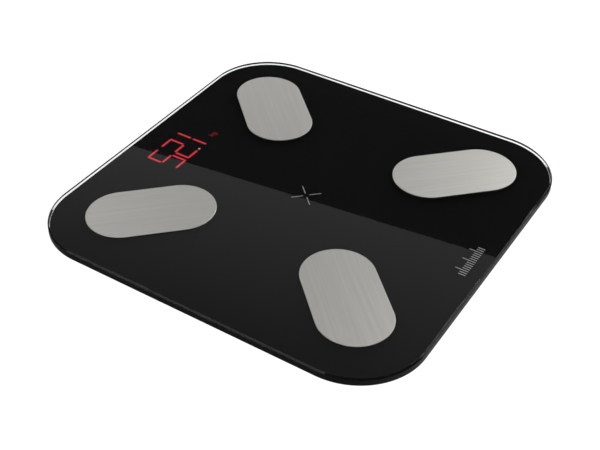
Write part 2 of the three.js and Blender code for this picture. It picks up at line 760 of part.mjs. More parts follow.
// A strip of spring plate at one end of the bay with a cone for each cell.
function batteryContacts(side) {
  const wallX = BAY_HALF_X - CONTACT_CLEAR;
  const tipX = CELL_L / 2 + CONTACT_CLEAR;
  const halfY = BAY_HALF_Y - CONTACT_CLEAR;
  const low = BATTERY_Z - CELL_D / 2 + CONTACT_SHORT;
  const high = BATTERY_Z + CELL_D / 2 - CONTACT_SHORT;
  let strip = box(side * wallX, side * (wallX - CONTACT_T), BAY_Y - halfY, BAY_Y + halfY, low, high);
  for (let index = 0; index < CELL_COUNT; index += 1) {
    const length = wallX - CONTACT_T / 2 - tipX;
    const cone = new THREE.CylinderGeometry(CONE_TIP_R, CONE_ROOT_R, length, ROUND_SMALL);
    cone.rotateZ((side * Math.PI) / 2);
    strip = strip.add(solid(cone.translate(side * (tipX + length / 2), cellAt(index), BATTERY_Z)));
  }
  return strip;
}

// Door plate with two hinge tabs at the heel edge and a snap tongue opposite.
function batteryDoor() {
  const outline = roundedRect(DOOR_HALF_X, DOOR_HALF_Y, DOOR_CORNER - DOOR_GAP, 0, BAY_Y);
  const edge = BAY_Y + DOOR_HALF_Y;
  const half = LATCH_W / 2;
  let door = plate(outline, BASE_BOTTOM, DOOR_TOP, 4);
  for (const side of [-1, 1]) {
    const tabLeft = side * TAB_X - TAB_W / 2;
    const tabFront = HINGE_Y - HINGE_IN - TAB_REACH;
    const tabBack = HINGE_Y + TAB_ROOT;
    door = door.add(box(tabLeft, tabLeft + TAB_W, tabFront, tabBack, DOOR_TOP - BOND, DOOR_TOP + TAB_T));
    const slotX = side * (half + LATCH_SLOT / 2);
    door = door.subtract(centredBox(slotX, edge, LATCH_SLOT, 2 * LATCH_L, BASE_BOTTOM - CUT, DOOR_TOP + CUT));
  }
  const fold = edge - LATCH_L;
  const thin = box(-half, half, fold, fold + LATCH_HINGE, DOOR_TOP - LATCH_THIN, DOOR_TOP + CUT);
  const lip = box(1 - half, half - 1, edge - SINK, edge + LIP_REACH, DOOR_TOP - LIP_T, DOOR_TOP);
  return door.subtract(thin).add(lip);
}

function unitButton() {
  const flange = BUTTON_R + BUTTON_FLANGE;
  const flangeZ = FLOOR_TOP + SEAT_CLEAR;
  const stemTop = SWITCH_Z - BUTTON_TRAVEL_GAP;
  const profile = [
    [0, BASE_BOTTOM],
    [BUTTON_R - BUTTON_EDGE, BASE_BOTTOM],
    [BUTTON_R, BASE_BOTTOM + BUTTON_EDGE],
    [BUTTON_R, flangeZ],
    [flange, flangeZ],
    [flange, FLOOR_TOP + CUT],
    [BUTTON_STEM_R, FLOOR_TOP + CUT],
    [BUTTON_STEM_R, stemTop],
    [0, stemTop],
  ];
  return turned(profile, BUTTON_X, BUTTON_Y, ROUND_RING);
}

// ---------------------------------------------------------------- wiring

function electrodeLead(corner) {
  const [x, y] = studPlace(corner);
  const top = GLASS_Z - BOND - STUD_HEAD_T - CONTACT_CLEAR;
  if (corner.sy > 0) {
    const landX = corner.sx * (BOARD_W / 2 - 5);
    const landY = BOARD_Y - BOARD_D / 2 + 8;
    const deck = BOARD_Z + BOARD_T + CONTACT_CLEAR;
    return wire([
      [x, y, top],
      [x, y, top - 1.6],
      [(x + landX) / 2, (y + landY) / 2, deck + 2],
      [landX, landY, deck + 1.4],
      [landX, landY, deck],
    ]);
  }
  const lane = corner.sx * (DOOR_HALF_X + 13);
  const boardLow = BOARD_Y - BOARD_D / 2 - 4;
  const crossing = LEAD_Z + 2.5 * LEAD_R;
  return wire([
    [x, y, top],
    [x, y, top - 2.5],
    [lane, y + 12, crossing],
    [lane, (y + 12 + boardLow) / 2, crossing],
    [lane, boardLow, LEAD_Z],
    [corner.sx * (BOARD_W / 2 + 1), BOARD_Y - 8, BOARD_Z + BOARD_T / 2],
  ]);
}

function loadCellLead({ sx, sy }) {
  const x = sx * (FOOT_AT - CELL_PLATE / 2 - SEAT_CLEAR);
  const y = sy * FOOT_AT;
  const z = CELL_PLATE_Z + CELL_PLATE_T / 2;
  const edge = BOARD_W / 2 + 1;
  const out = sx * (FOOT_AT - CARRIER / 2 - 4);
  const land = BOARD_Z + BOARD_T / 2;
  if (sy > 0) {
    return wire([
      [x, y, z],
      [out, y, z],
      [(out + sx * edge) / 2, (y + BOARD_Y) / 2 + 4, z],
      [sx * edge, BOARD_Y + 10, land],
    ]);
  }
  return wire([
    [x, y, z],
    [out, y, z],
    [out - sx * 4, y + 14, LEAD_Z],
    [sx * (DOOR_HALF_X + 9), BAY_Y + 6, LEAD_Z],
    [sx * (DOOR_HALF_X + 8), BOARD_Y - BOARD_D / 2 - 8, LEAD_Z],
    [sx * (BOARD_W / 2 - 8), BOARD_Y - BOARD_D / 2 - 1.2, land],
  ]);
}

function displayRibbon() {
  const outline = roundedRect(RIBBON_W / 2, RIBBON_T / 2, RIBBON_T / 4);
  const path = new THREE.CatmullRomCurve3([
    new THREE.Vector3(DISPLAY_X, DISPLAY_Y - DISPLAY_D / 2 + 0.6, DISPLAY_BOARD_Z + BOARD_T / 2),
    new THREE.Vector3(DISPLAY_X, DISPLAY_Y - DISPLAY_D / 2 - 2.5, DISPLAY_BOARD_Z + 0.4),
    new THREE.Vector3(DISPLAY_X, BOARD_Y + BOARD_D / 2 + 2.5, BOARD_Z + BOARD_T / 2 + 0.4),
    new THREE.Vector3(DISPLAY_X, BOARD_Y + BOARD_D / 2 + 0.4, BOARD_Z + BOARD_T / 2),
  ]);
  return solid(new THREE.ExtrudeGeometry(outline, { extrudePath: path, steps: 10, curveSegments: 1 }));
}

function batteryLead(side) {
  const x = side * (BAY_HALF_X - LEAD_IN);
  const y = BAY_Y + BAY_HALF_Y + BAY_WALL + CONTACT_CLEAR;
  const boardEdge = BOARD_Y - BOARD_D / 2 - 0.4;
  return wire([
    [x, y, BATTERY_Z],
    [x, y + 4, BATTERY_Z + 1],
    [x - side * 6, boardEdge - 5, LEAD_Z + 0.6],
    [x - side * 8, boardEdge, BOARD_Z + BOARD_T / 2],
  ]);
}

// ---------------------------------------------------------------- assembly

add('glass_platform', glassPlatform(), GLASS);
add('back_print', backPrint(), BLACK_PRINT);
add('glass_tape', glassTape(), FOAM);
add('base_shell', baseShell(), SHELL);

for (const corner of CORNERS) {
  add(`electrode_pad_${corner.name}`, electrodePad(corner), STEEL);
  add(`contact_stud_${corner.name}`, contactStud(corner), BRASS);
  add(`load_cell_${corner.name}`, loadCell(corner), STEEL);
  add(`cell_carrier_${corner.name}`, cellCarrier(corner), SHELL);
  add(`foot_cap_${corner.name}`, footCap(corner), SHELL);
  add(`foot_rubber_${corner.name}`, footRubber(corner), RUBBER);
  add(`electrode_lead_${corner.name}`, electrodeLead(corner), WIRE);
  add(`load_cell_lead_${corner.name}`, loadCellLead(corner), WIRE);
}

// A flat layer of the display, drawn in from the housing's outline by `inset`.
function displayLayer(inset, z, thickness) {
  return centredBox(DISPLAY_X, DISPLAY_Y, DISPLAY_W - 2 * inset, DISPLAY_D - inset, z, z + thickness);
}

add('display_filter', displayLayer(0, FILTER_Z, FILTER_T), SMOKE);
add('display_diffuser', displayLayer(1, DIFFUSER_Z, DIFFUSER_T), WHITE_PLASTIC);
add('segment_reflector', reflector(), WHITE_PLASTIC);
add('display_board', displayBoard(), BOARD);
displayPosts().forEach(([x, y], i) => {
  add(`display_screw_${i + 1}`, screw(x, y, DISPLAY_BOARD_Z + BOARD_T + BOND), STEEL);
});

const chipZ = BOARD_Z + BOARD_T + BOND;
const radioY = BOARD_Y + RADIO_Y;
const switchTop = BOARD_Z - BOND;
add('main_board', mainBoard(), BOARD);
add('processor_chip', centredBox(CHIP_X, BOARD_Y, CHIP_SIDE, CHIP_SIDE, chipZ, chipZ + CHIP_T), CHIP);
add('radio_module', centredBox(RADIO_X, radioY, RADIO_W, RADIO_D, chipZ, chipZ + RADIO_T), STEEL);
boardPosts().forEach(([x, y], i) => {
  add(`board_screw_${i + 1}`, screw(x, y, chipZ), STEEL);
});

add('tactile_switch', centredBox(BUTTON_X, BUTTON_Y, SWITCH_SIDE, SWITCH_SIDE, SWITCH_Z, switchTop), CHIP);
add('unit_button', unitButton(), SHELL);
add('battery_door', batteryDoor(), SHELL);
for (let index = 0; index < CELL_COUNT; index += 1) {
  add(`battery_${index + 1}`, batteryCell(index), BATTERY);
}
add('battery_contacts_left', batteryContacts(-1), STEEL);
add('battery_contacts_right', batteryContacts(1), STEEL);
add('battery_lead_left', batteryLead(-1), WIRE);
add('battery_lead_right', batteryLead(1), WIRE);
add('display_ribbon', displayRibbon(), WIRE);

export default scale;
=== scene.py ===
import math

import bmesh
import bpy
from bpy.props import FloatProperty, FloatVectorProperty, IntProperty, PointerProperty
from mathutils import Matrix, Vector


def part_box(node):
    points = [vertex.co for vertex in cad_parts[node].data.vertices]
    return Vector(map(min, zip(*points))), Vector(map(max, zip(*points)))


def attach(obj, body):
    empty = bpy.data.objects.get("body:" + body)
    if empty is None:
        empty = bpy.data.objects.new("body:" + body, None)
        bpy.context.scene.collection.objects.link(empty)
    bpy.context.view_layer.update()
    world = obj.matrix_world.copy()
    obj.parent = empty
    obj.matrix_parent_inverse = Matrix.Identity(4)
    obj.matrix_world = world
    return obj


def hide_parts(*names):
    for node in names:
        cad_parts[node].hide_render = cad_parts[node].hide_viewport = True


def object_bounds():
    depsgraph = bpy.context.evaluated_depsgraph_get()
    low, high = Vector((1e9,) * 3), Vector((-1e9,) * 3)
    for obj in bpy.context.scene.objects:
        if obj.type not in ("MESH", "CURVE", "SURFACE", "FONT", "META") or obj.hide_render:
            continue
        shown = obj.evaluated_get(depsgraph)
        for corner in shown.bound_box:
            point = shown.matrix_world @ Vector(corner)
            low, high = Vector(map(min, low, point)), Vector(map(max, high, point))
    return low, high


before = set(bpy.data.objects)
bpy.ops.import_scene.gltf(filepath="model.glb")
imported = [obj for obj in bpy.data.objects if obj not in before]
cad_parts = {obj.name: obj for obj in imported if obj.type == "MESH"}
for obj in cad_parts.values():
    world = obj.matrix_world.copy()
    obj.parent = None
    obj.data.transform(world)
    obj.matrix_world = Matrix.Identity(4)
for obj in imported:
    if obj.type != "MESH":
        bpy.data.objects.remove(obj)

bl_info = {
    "name": "Glass Bathroom Scale",
    "version": (1, 0, 0),
    "blender": (4, 5, 0),
    "location": "View3D > Sidebar > Scale",
    "description": "Builds the glass, pads, display, base and finishes of a digital bathroom scale",
    "category": "Object",
}

MM = 0.001
CAD_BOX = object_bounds()
CORNERS = ("toe_left", "toe_right", "heel_left", "heel_right")

STUD_HOLE_R = 2.5 * MM
# The fired print runs this far into the glass, so that the two act as one body.
FUSED = 0.01 * MM
# Lit and printed marks lie this far above the underside of the glass, over the print.
MARK_LIFT = 0.014 * MM
LIT_LIFT = 0.016 * MM

# The bars a to g of a figure: top, upper right, lower right, bottom, lower left, upper left, middle.
# Each entry names the bars that are lit for the figures 0 to 9.
FIGURE_BARS = ("abcdef", "bc", "abged", "abgcd", "fgbc", "afgcd", "afgedc", "abc", "abcdefg", "abfgcd")


# ---------------------------------------------------------------- colours and nodes

def linear(code):
    """Turns an sRGB hex colour into linear red, green, blue and alpha."""
    out = []
    for start in (0, 2, 4):
        value = int(code[start:start + 2], 16) / 255
        out.append(value / 12.92 if value <= 0.04045 else ((value + 0.055) / 1.055) ** 2.4)
    return (*out, 1.0)


def node(tree, kind, settings=None, links=None):
    """Adds one node, sets its properties or inputs by name or number, and feeds its linked inputs."""
    made = tree.nodes.new(kind)
    for key, value in (settings or {}).items():
        if isinstance(key, str) and hasattr(made, key):
            setattr(made, key, value)
    for key, value in (settings or {}).items():
        if not (isinstance(key, str) and hasattr(made, key)):
            made.inputs[key].default_value = value
    for key, socket in (links or {}).items():
        tree.links.new(socket, made.inputs[key])
    return made


def new_material(name):
    """A material with an empty node tree and its output node."""
    material = bpy.data.materials.new(name)
    material.use_nodes = True
    material.node_tree.nodes.clear()
    return material, material.node_tree, node(material.node_tree, "ShaderNodeOutputMaterial")


def mottled(tree, place, low, high, size, detail=3.0):
    """A colour between two near shades that drifts over patches of about `size` metres."""
    noise = node(tree, "ShaderNodeTexNoise", {"Scale": 1 / size, "Detail": detail}, {"Vector": place})
    mix = node(tree, "ShaderNodeMix", {"data_type": "RGBA", 6: low, 7: high}, {0: noise.outputs[0]})
    return mix.outputs[2]


def grained(tree, place, size, depth, distance=0.1 * MM):
    """A bump from fine even grain with features of about `size` metres."""
    noise = node(tree, "ShaderNodeTexNoise", {"Scale": 1 / size, "Detail": 2.0}, {"Vector": place})
    bump = node(tree, "ShaderNodeBump", {"Strength": depth, "Distance": distance},
                {"Height": noise.outputs[0]})
    return bump.outputs[0]


def spread(tree, place, low, high, size):
    """A number that drifts between two values over patches of about `size` metres."""
    noise = node(tree, "ShaderNodeTexNoise", {"Scale": 1 / size, "Detail": 2.0}, {"Vector": place})
    ramp = node(tree, "ShaderNodeMapRange", {"From Min": 0.3, "From Max": 0.7, "To Min": low,
                                             "To Max": high}, {"Value": noise.outputs[0]})
    return ramp.outputs[0]


def solid_finish(name, low, high, patch, rough, grain=0.0, depth=0.0, distance=0.1 * MM, **shader):
    """A plain solid: two near shades, a drifting roughness and, where it has one, a fine grain."""
    material, tree, out = new_material(name)
    place = node(tree, "ShaderNodeTexCoord").outputs["Object"]
    links = {
        "Base Color": mottled(tree, place, linear(low), linear(high), patch),
        "Roughness": spread(tree, place, rough[0], rough[1], patch * 0.6),
    }
    if grain:
        links["Normal"] = grained(tree, place, grain, depth, distance)
    values = {key.replace("_", " "): value for key, value in shader.items()}
    shader_node = node(tree, "ShaderNodeBsdfPrincipled", values, links)
    tree.links.new(shader_node.outputs[0], out.inputs[0])
    return material


# ---------------------------------------------------------------- finishes

def toughened_glass():
    """Soda-lime float glass, polished and toughened: clear, faintly green, with a mirror face."""
    material, tree, out = new_material("toughened_float_glass_polished")
    place = node(tree, "ShaderNodeTexCoord").outputs["Object"]
    # Wiping leaves a haze far too thin to see except as the slightest change of gloss.
    haze = spread(tree, place, 0.0, 0.012, 40 * MM)
    glass = node(tree, "ShaderNodeBsdfPrincipled", {
        "Base Color": linear("F9FCFB"), "IOR": 1.52, "Transmission Weight": 1.0}, {"Roughness": haze})
    clear = node(tree, "ShaderNodeBsdfTransparent", {"Color": linear("F9FCFB")})
    path = node(tree, "ShaderNodeLightPath")
    mix = node(tree, "ShaderNodeMixShader", links={
        0: path.outputs["Is Shadow Ray"], 1: glass.outputs[0], 2: clear.outputs[0]})
    tree.links.new(mix.outputs[0], out.inputs[0])
    return material


def fired_enamel():
    """Black ceramic enamel screen-printed and fired to the glass: deep, even, with no gloss of its own."""
    material, tree, out = new_material("ceramic_enamel_screen_printed_black")
    place = node(tree, "ShaderNodeTexCoord").outputs["Object"]
    enamel = node(tree, "ShaderNodeBsdfPrincipled", {"Specular IOR Level": 0.0}, {
        "Base Color": mottled(tree, place, linear("111112"), linear("151516"), 3 * MM),
        "Roughness": spread(tree, place, 0.45, 0.6, 5 * MM)})
    tree.links.new(enamel.outputs[0], out.inputs[0])
    return material


def brushed_steel():
    """Thin stainless steel, linished along its length: long fine scratches that streak the light."""
    material, tree, out = new_material("stainless_steel_linished")
    along = node(tree, "ShaderNodeUVMap", {"uv_map": "grain"}).outputs[0]
    # Scratches are 0.1 mm apart on the real sheet and are drawn 0.5 mm apart, so that they show.
    fine = node(tree, "ShaderNodeMapping", {"Scale": (1 / (26 * MM), 1 / (0.5 * MM), 1.0)},
                {"Vector": along})
    broad = node(tree, "ShaderNodeMapping", {"Scale": (1 / (90 * MM), 1 / (2.2 * MM), 1.0)},
                 {"Vector": along})
    scratch = node(tree, "ShaderNodeTexNoise", {"Scale": 1.0, "Detail": 3.0},
                   {"Vector": fine.outputs[0]})
    band = node(tree, "ShaderNodeTexNoise", {"Scale": 1.0, "Detail": 2.0}, {"Vector": broad.outputs[0]})
    both = node(tree, "ShaderNodeMath", {"operation": "MULTIPLY_ADD", 1: 0.6},
                {0: scratch.outputs[0], 2: band.outputs[0]})
    tone = node(tree, "ShaderNodeMapRange", {"From Min": 0.5, "From Max": 1.1}, {"Value": both.outputs[0]})
    colour = node(tree, "ShaderNodeMix", {"data_type": "RGBA", 6: linear("C3C1BC"), 7: linear("CDCCC7")},
                  {0: tone.outputs[0]})
    rough = node(tree, "ShaderNodeMapRange", {"To Min": 0.40, "To Max": 0.46},
                 {"Value": scratch.outputs[0]})
    bump = node(tree, "ShaderNodeBump", {"Strength": 0.12, "Distance": 0.02 * MM},
                {"Height": scratch.outputs[0]})
    tangent = node(tree, "ShaderNodeTangent", {"direction_type": "UV_MAP", "uv_map": "grain"})
    steel = node(tree, "ShaderNodeBsdfPrincipled", {"Metallic": 1.0, "Anisotropic": 0.1}, {
        "Base Color": colour.outputs[2], "Roughness": rough.outputs[0], "Normal": bump.outputs[0],
        "Tangent": tangent.outputs[0]})
    tree.links.new(steel.outputs[0], out.inputs[0])
    return material


def lit_diode(name, core, rim, strength):
    """Light from a red diode through a thin diffuser: a hot core that cools in fine speckle."""
    material, tree, out = new_material(name)
    place = node(tree, "ShaderNodeTexCoord").outputs["Object"]
    colour = mottled(tree, place, core, rim, 1.2 * MM)
    glow = node(tree, "ShaderNodeBsdfPrincipled", {
        "Base Color": linear("200404"), "Roughness": 0.6, "Specular IOR Level": 0.0,
        "Emission Strength": strength}, {"Emission Color": colour})
    tree.links.new(glow.outputs[0], out.inputs[0])
    return material


def smoked_acrylic():
    """Cast acrylic dyed almost black with a warm cast: it lies under the ink and shows no gloss."""
    return solid_finish("acrylic_cast_smoked", "0C0A0B", "110D0E", 8 * MM, (0.5, 0.6),
                        Specular_IOR_Level=0.0)


def smoked_ink():
    """Translucent smoked ink over the display: dead black until a lamp lights behind it."""
    return solid_finish("enamel_screen_printed_smoked", "111112", "151415", 3 * MM, (0.45, 0.6),
                        Specular_IOR_Level=0.0)


def moulded_black_abs():
    """ABS moulded in a spark-eroded tool: a soft even sheen broken by a fine sandy grain."""
    return solid_finish("abs_moulded_spark_eroded_black", "17181A", "1F2022", 30 * MM, (0.42, 0.56),
                        grain=0.7 * MM, depth=0.35, distance=0.08 * MM, IOR=1.54)


def moulded_gloss_abs():
    """ABS moulded in a polished tool: the same black, smoother, so that small parts stand out."""
    return solid_finish("abs_moulded_polished_black", "1B1C1E", "232427", 12 * MM, (0.26, 0.36),
                        grain=1.5 * MM, depth=0.08, distance=0.05 * MM, IOR=1.54)


def moulded_rubber():
    """Thermoplastic rubber moulded with a matt skin: soft dark grey with a dull, even face."""
    return solid_finish("tpe_rubber_moulded_matt", "2B2C2E", "3A3B3D", 6 * MM, (0.78, 0.92),
                        grain=0.5 * MM, depth=0.4, distance=0.06 * MM, IOR=1.5)


def closed_cell_foam():
    """Black polyethylene foam tape, die-cut: a dull face pitted with small cells."""
    return solid_finish("polyethylene_foam_tape_die_cut", "1E1E1F", "2C2C2D", 2 * MM, (0.85, 0.97),
                        grain=0.6 * MM, depth=0.8, distance=0.1 * MM)


def flashed_brass(name):
    """Brass, turned or pressed, with a thin nickel flash: soft yellow metal with fine tool marks."""
    return solid_finish(name, "B79A5E", "CDB680", 1.5 * MM, (0.22, 0.34),
                        grain=0.3 * MM, depth=0.2, distance=0.02 * MM, Metallic=1.0)


def blanked_steel():
    """Spring steel blanked, ground and nickel plated: a bright grey plate with a faint stipple."""
    return solid_finish("spring_steel_ground_nickel_plated", "A9A8A3", "C3C2BD", 4 * MM, (0.26, 0.4),
                        grain=0.4 * MM, depth=0.25, distance=0.03 * MM, Metallic=1.0)


def zinc_plated_screw():
    """Steel screw, cold headed and zinc plated with a clear passivate: pale metal with a blue cast."""
    return solid_finish("steel_cold_headed_zinc_plated", "A4A9AE", "C7CACD", 0.8 * MM, (0.3, 0.45),
                        grain=0.2 * MM, depth=0.2, distance=0.02 * MM, Metallic=1.0)


def moulded_white_abs():
    """White ABS loaded with titania so that no light leaks: bright, matt and very even."""
    return solid_finish("abs_moulded_matt_white", "DEDED9", "EBEBE7", 20 * MM, (0.5, 0.62),
                        grain=0.6 * MM, depth=0.2, distance=0.05 * MM, IOR=1.54)


def opal_polycarbonate():
    """Opal polycarbonate film, calendered: milky, with a faint cloud that evens out each lamp."""
    return solid_finish("polycarbonate_film_opal", "D9D7D2", "E8E7E3", 5 * MM, (0.4, 0.5), IOR=1.58)


def solder_masked_board():
    """Glass-epoxy board under green solder mask: copper tracks show through as paler lines."""
    material, tree, out = new_material("fr4_laminate_green_solder_mask")
    place = node(tree, "ShaderNodeTexCoord").outputs["Object"]
    # Wave bands cut up by square-sided cells read as copper tracks that run and stop.
    cells = node(tree, "ShaderNodeTexVoronoi", {"Scale": 1 / (7.6 * MM), "distance": "MANHATTAN"},
                 {"Vector": place})
    wave = node(tree, "ShaderNodeTexWave", {"Scale": 1 / (16 * MM), "Distortion": 0.0},
                {"Vector": place})
    tracks = node(tree, "ShaderNodeMath", {"operation": "MULTIPLY"}, {
        0: cells.outputs["Distance"], 1: wave.outputs["Fac"]})
    edge = node(tree, "ShaderNodeMapRange", {"From Min": 0.28, "From Max": 0.34},
                {"Value": tracks.outputs[0]})
    mix = node(tree, "ShaderNodeMix", {"data_type": "RGBA", 6: linear("174C2E"), 7: linear("2A6E41")},
               {0: edge.outputs[0]})
    bump = node(tree, "ShaderNodeBump", {"Strength": 0.4, "Distance": 0.04 * MM},
                {"Height": edge.outputs[0]})
    board = node(tree, "ShaderNodeBsdfPrincipled", {"IOR": 1.55}, {
        "Base Color": mix.outputs[2], "Normal": bump.outputs[0],
        "Roughness": spread(tree, place, 0.28, 0.4, 6 * MM)})
    tree.links.new(board.outputs[0], out.inputs[0])
    return material


def moulded_epoxy():
    """Chip package of silica-filled epoxy, transfer moulded: near black and finely sandy."""
    return solid_finish("epoxy_transfer_moulded_black", "202123", "2A2B2D", 1 * MM, (0.5, 0.66),
                        grain=0.25 * MM, depth=0.4, distance=0.03 * MM)


def tinned_can():
    """Radio shield of tin-plated steel, pressed: bright and slightly clouded."""
    return solid_finish("steel_pressed_tin_plated", "B5B7B8", "D1D2D2", 3 * MM, (0.2, 0.36),
                        grain=1.2 * MM, depth=0.15, distance=0.03 * MM, Metallic=1.0)


def silicone_lead():
    """Silicone-covered stranded lead, extruded: pale grey, soft and slightly waxy."""
    return solid_finish("silicone_lead_extruded", "A9A9A4", "BEBEB9", 4 * MM, (0.5, 0.64),
                        grain=0.5 * MM, depth=0.15, distance=0.03 * MM, IOR=1.43)


def polyimide_ribbon():
    """Flexible circuit of polyimide over copper: amber film with fine parallel conductors."""
    material, tree, out = new_material("polyimide_flex_laminated")
    place = node(tree, "ShaderNodeTexCoord").outputs["Object"]
    wave = node(tree, "ShaderNodeTexWave", {"Scale": 1 / (12.8 * MM), "bands_direction": "X"},
                {"Vector": place})
    mix = node(tree, "ShaderNodeMix", {"data_type": "RGBA", 6: linear("8A4A12"), 7: linear("C98530")},
               {0: wave.outputs["Fac"]})
    film = node(tree, "ShaderNodeBsdfPrincipled", {"IOR": 1.65}, {
        "Base Color": mix.outputs[2], "Roughness": spread(tree, place, 0.25, 0.38, 3 * MM)})
    tree.links.new(film.outputs[0], out.inputs[0])
    return material


def sleeved_cell():
    """Alkaline cell in a printed shrink sleeve: a dark body with one copper band at one end."""
    material, tree, out = new_material("alkaline_cell_shrink_sleeved")
    place = node(tree, "ShaderNodeTexCoord").outputs["Object"]
    split = node(tree, "ShaderNodeSeparateXYZ", links={0: place})
    band = node(tree, "ShaderNodeMapRange", {"From Min": 8.0 * MM, "From Max": 8.1 * MM},
                {"Value": split.outputs[0]})
    body = mottled(tree, place, linear("2A2C30"), linear("33353A"), 2 * MM)
    mix = node(tree, "ShaderNodeMix", {"data_type": "RGBA", 7: linear("B0713F")}, {
        0: band.outputs[0], 6: body})
    sleeve = node(tree, "ShaderNodeBsdfPrincipled", {"Metallic": 0.5}, {
        "Base Color": mix.outputs[2], "Roughness": spread(tree, place, 0.24, 0.34, 4 * MM)})
    tree.links.new(sleeve.outputs[0], out.inputs[0])
    return material


def grey_frit(name, low, high):
    """Light ceramic frit printed before the black: crisp matt marks seen through the glass."""
    return solid_finish(name, low, high, 1.5 * MM, (0.5, 0.65), Specular_IOR_Level=0.0)


# ---------------------------------------------------------------- shapes

def rounded_outline(half_x, half_y, radius, steps):
    """Points of a rounded rectangle about the origin, anticlockwise, with no point given twice."""
    points = []
    for quarter, (sx, sy) in enumerate(((1, 1), (-1, 1), (-1, -1), (1, -1))):
        for step in range(steps + 1):
            angle = math.pi / 2 * (quarter + step / steps)
            point = Vector((sx * (half_x - radius) + radius * math.cos(angle),
                            sy * (half_y - radius) + radius * math.sin(angle)))
            if not points or (point - points[-1]).length > 1e-7:
                points.append(point)
    if (points[0] - points[-1]).length < 1e-7:
        points.pop()
    return points


def circle_outline(x, y, radius, sides):
    """Points of a circle, anticlockwise."""
    return [Vector((x + radius * math.cos(2 * math.pi * i / sides),
                    y + radius * math.sin(2 * math.pi * i / sides))) for i in range(sides)]


def skin(bm, lower, upper):
    """Joins two rings of corner points with faces that look outwards when the rings run anticlockwise."""
    for i in range(len(lower)):
        j = (i + 1) % len(lower)
        bm.faces.new((lower[i], lower[j], upper[j], upper[i]))


def close_face(bm, rings, up):
    """Fills the flat face that lies inside the first ring and outside the others."""
    edges = [bm.edges.get((ring[i - 1], ring[i])) for ring in rings for i in range(len(ring))]
    for made in bmesh.ops.triangle_fill(bm, use_beauty=True, edges=edges)["geom"]:
        if isinstance(made, bmesh.types.BMFace):
            made.normal_update()
            if made.normal.z * up < 0:
                made.normal_flip()


def plate(bm, outline, profile, holes=()):
    """A closed plate: `outline(inset)` gives its ring at each (inset, height) of the profile."""
    rings = [[bm.verts.new((p.x, p.y, z)) for p in outline(inset)] for inset, z in profile]
    for lower, upper in zip(rings, rings[1:]):
        skin(bm, lower, upper)
    low, high = profile[0][1], profile[-1][1]
    floors, tops = [], []
    for hole in holes:
        floors.append([bm.verts.new((p.x, p.y, low)) for p in hole])
        tops.append([bm.verts.new((p.x, p.y, high)) for p in hole])
        skin(bm, tops[-1], floors[-1])
    close_face(bm, [rings[0], *floors], -1)
    close_face(bm, [rings[-1], *tops], 1)


def turned(bm, profile, x, y, steps=72):
    """A solid turned about a vertical axis from (radius, height) points that start and end on the axis."""
    rings = []
    for radius, z in profile[1:-1]:
        rings.append([bm.verts.new((p.x, p.y, z)) for p in circle_outline(x, y, radius, steps)])
    for lower, upper in zip(rings, rings[1:]):
        skin(bm, lower, upper)
    for ring, (_, z), turn in ((rings[0], profile[0], -1), (rings[-1], profile[-1], 1)):
        pole = bm.verts.new((x, y, z))
        for i in range(steps):
            corners = (ring[i], ring[(i + 1) % steps], pole)
            bm.faces.new(corners if turn > 0 else corners[::-1])


def to_object(name, bm, smooth_angle=35):
    """Makes the piece's object at the origin, smooth where its faces meet gently."""
    mesh = bpy.data.meshes.new(name)
    bm.normal_update()
    bm.to_mesh(mesh)
    bm.free()
    piece = bpy.data.objects.new(name, mesh)
    bpy.context.scene.collection.objects.link(piece)
    mesh.shade_smooth()
    mesh.set_sharp_from_angle(angle=math.radians(smooth_angle))
    return piece


def dressed(piece, material, body, slot, *nodes):
    """Gives a piece its finish, the body that it moves with and the CAD nodes it stands for, which are
    hidden; its slot is not used.
    """
    if material is not None:
        piece.data.materials.clear()
        piece.data.materials.append(material)
    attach(piece, body)
    if nodes:
        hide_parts(*nodes)
    return piece


def smooth_copy(name, node_name, bevel=0.0, smooth_angle=35):
    """A copy of a CAD node's shape with whole faces, softened edges where asked, and smooth rounds."""
    bm = bmesh.new()
    bm.from_mesh(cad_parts[node_name].data)
    bmesh.ops.remove_doubles(bm, verts=bm.verts, dist=2e-6)
    bmesh.ops.dissolve_limit(bm, angle_limit=math.radians(0.8), verts=bm.verts, edges=bm.edges)
    piece = to_object(name, bm, smooth_angle)
    if bevel:
        soften = piece.modifiers.new("edge_radius", "BEVEL")
        soften.width = bevel
        soften.segments = 2
        soften.limit_method = "ANGLE"
        soften.angle_limit = math.radians(50)
        soften.harden_normals = True
        apply_modifiers(piece)
    return piece


def apply_modifiers(piece):
    """Turns the evaluated piece into a plain mesh and takes its modifiers off."""
    evaluated = piece.evaluated_get(bpy.context.evaluated_depsgraph_get())
    mesh = bpy.data.meshes.new_from_object(evaluated)
    old = piece.data
    piece.modifiers.clear()
    piece.data = mesh
    bpy.data.meshes.remove(old)
    mesh.name = piece.name


def glowing_card(name, corners, finish):
    """A flat card of the stage, which lights the scale and is mirrored in it but isn't seen itself."""
    mesh = bpy.data.meshes.new(name)
    mesh.from_pydata(corners, [], [(0, 1, 2, 3)])
    mesh.materials.append(finish)
    card = bpy.data.objects.new(name, mesh)
    bpy.context.scene.collection.objects.link(card)
    card.visible_camera = False


def centre_of(name):
    """The middle of a CAD node's box."""
    low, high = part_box(name)
    return (low + high) / 2


# ---------------------------------------------------------------- shapes grown by geometry nodes

def grown(name, mesh, tree, values):
    """The piece that a tree makes from a starting mesh, as a plain mesh with the modifier taken off."""
    piece = bpy.data.objects.new(name, mesh)
    bpy.context.scene.collection.objects.link(piece)
    grow = piece.modifiers.new("grow", "NODES")
    grow.node_group = tree
    sockets = {item.name: item.identifier for item in tree.interface.items_tree if item.in_out == "INPUT"}
    for key, value in values.items():
        grow[sockets[key]] = value
    apply_modifiers(piece)
    return piece


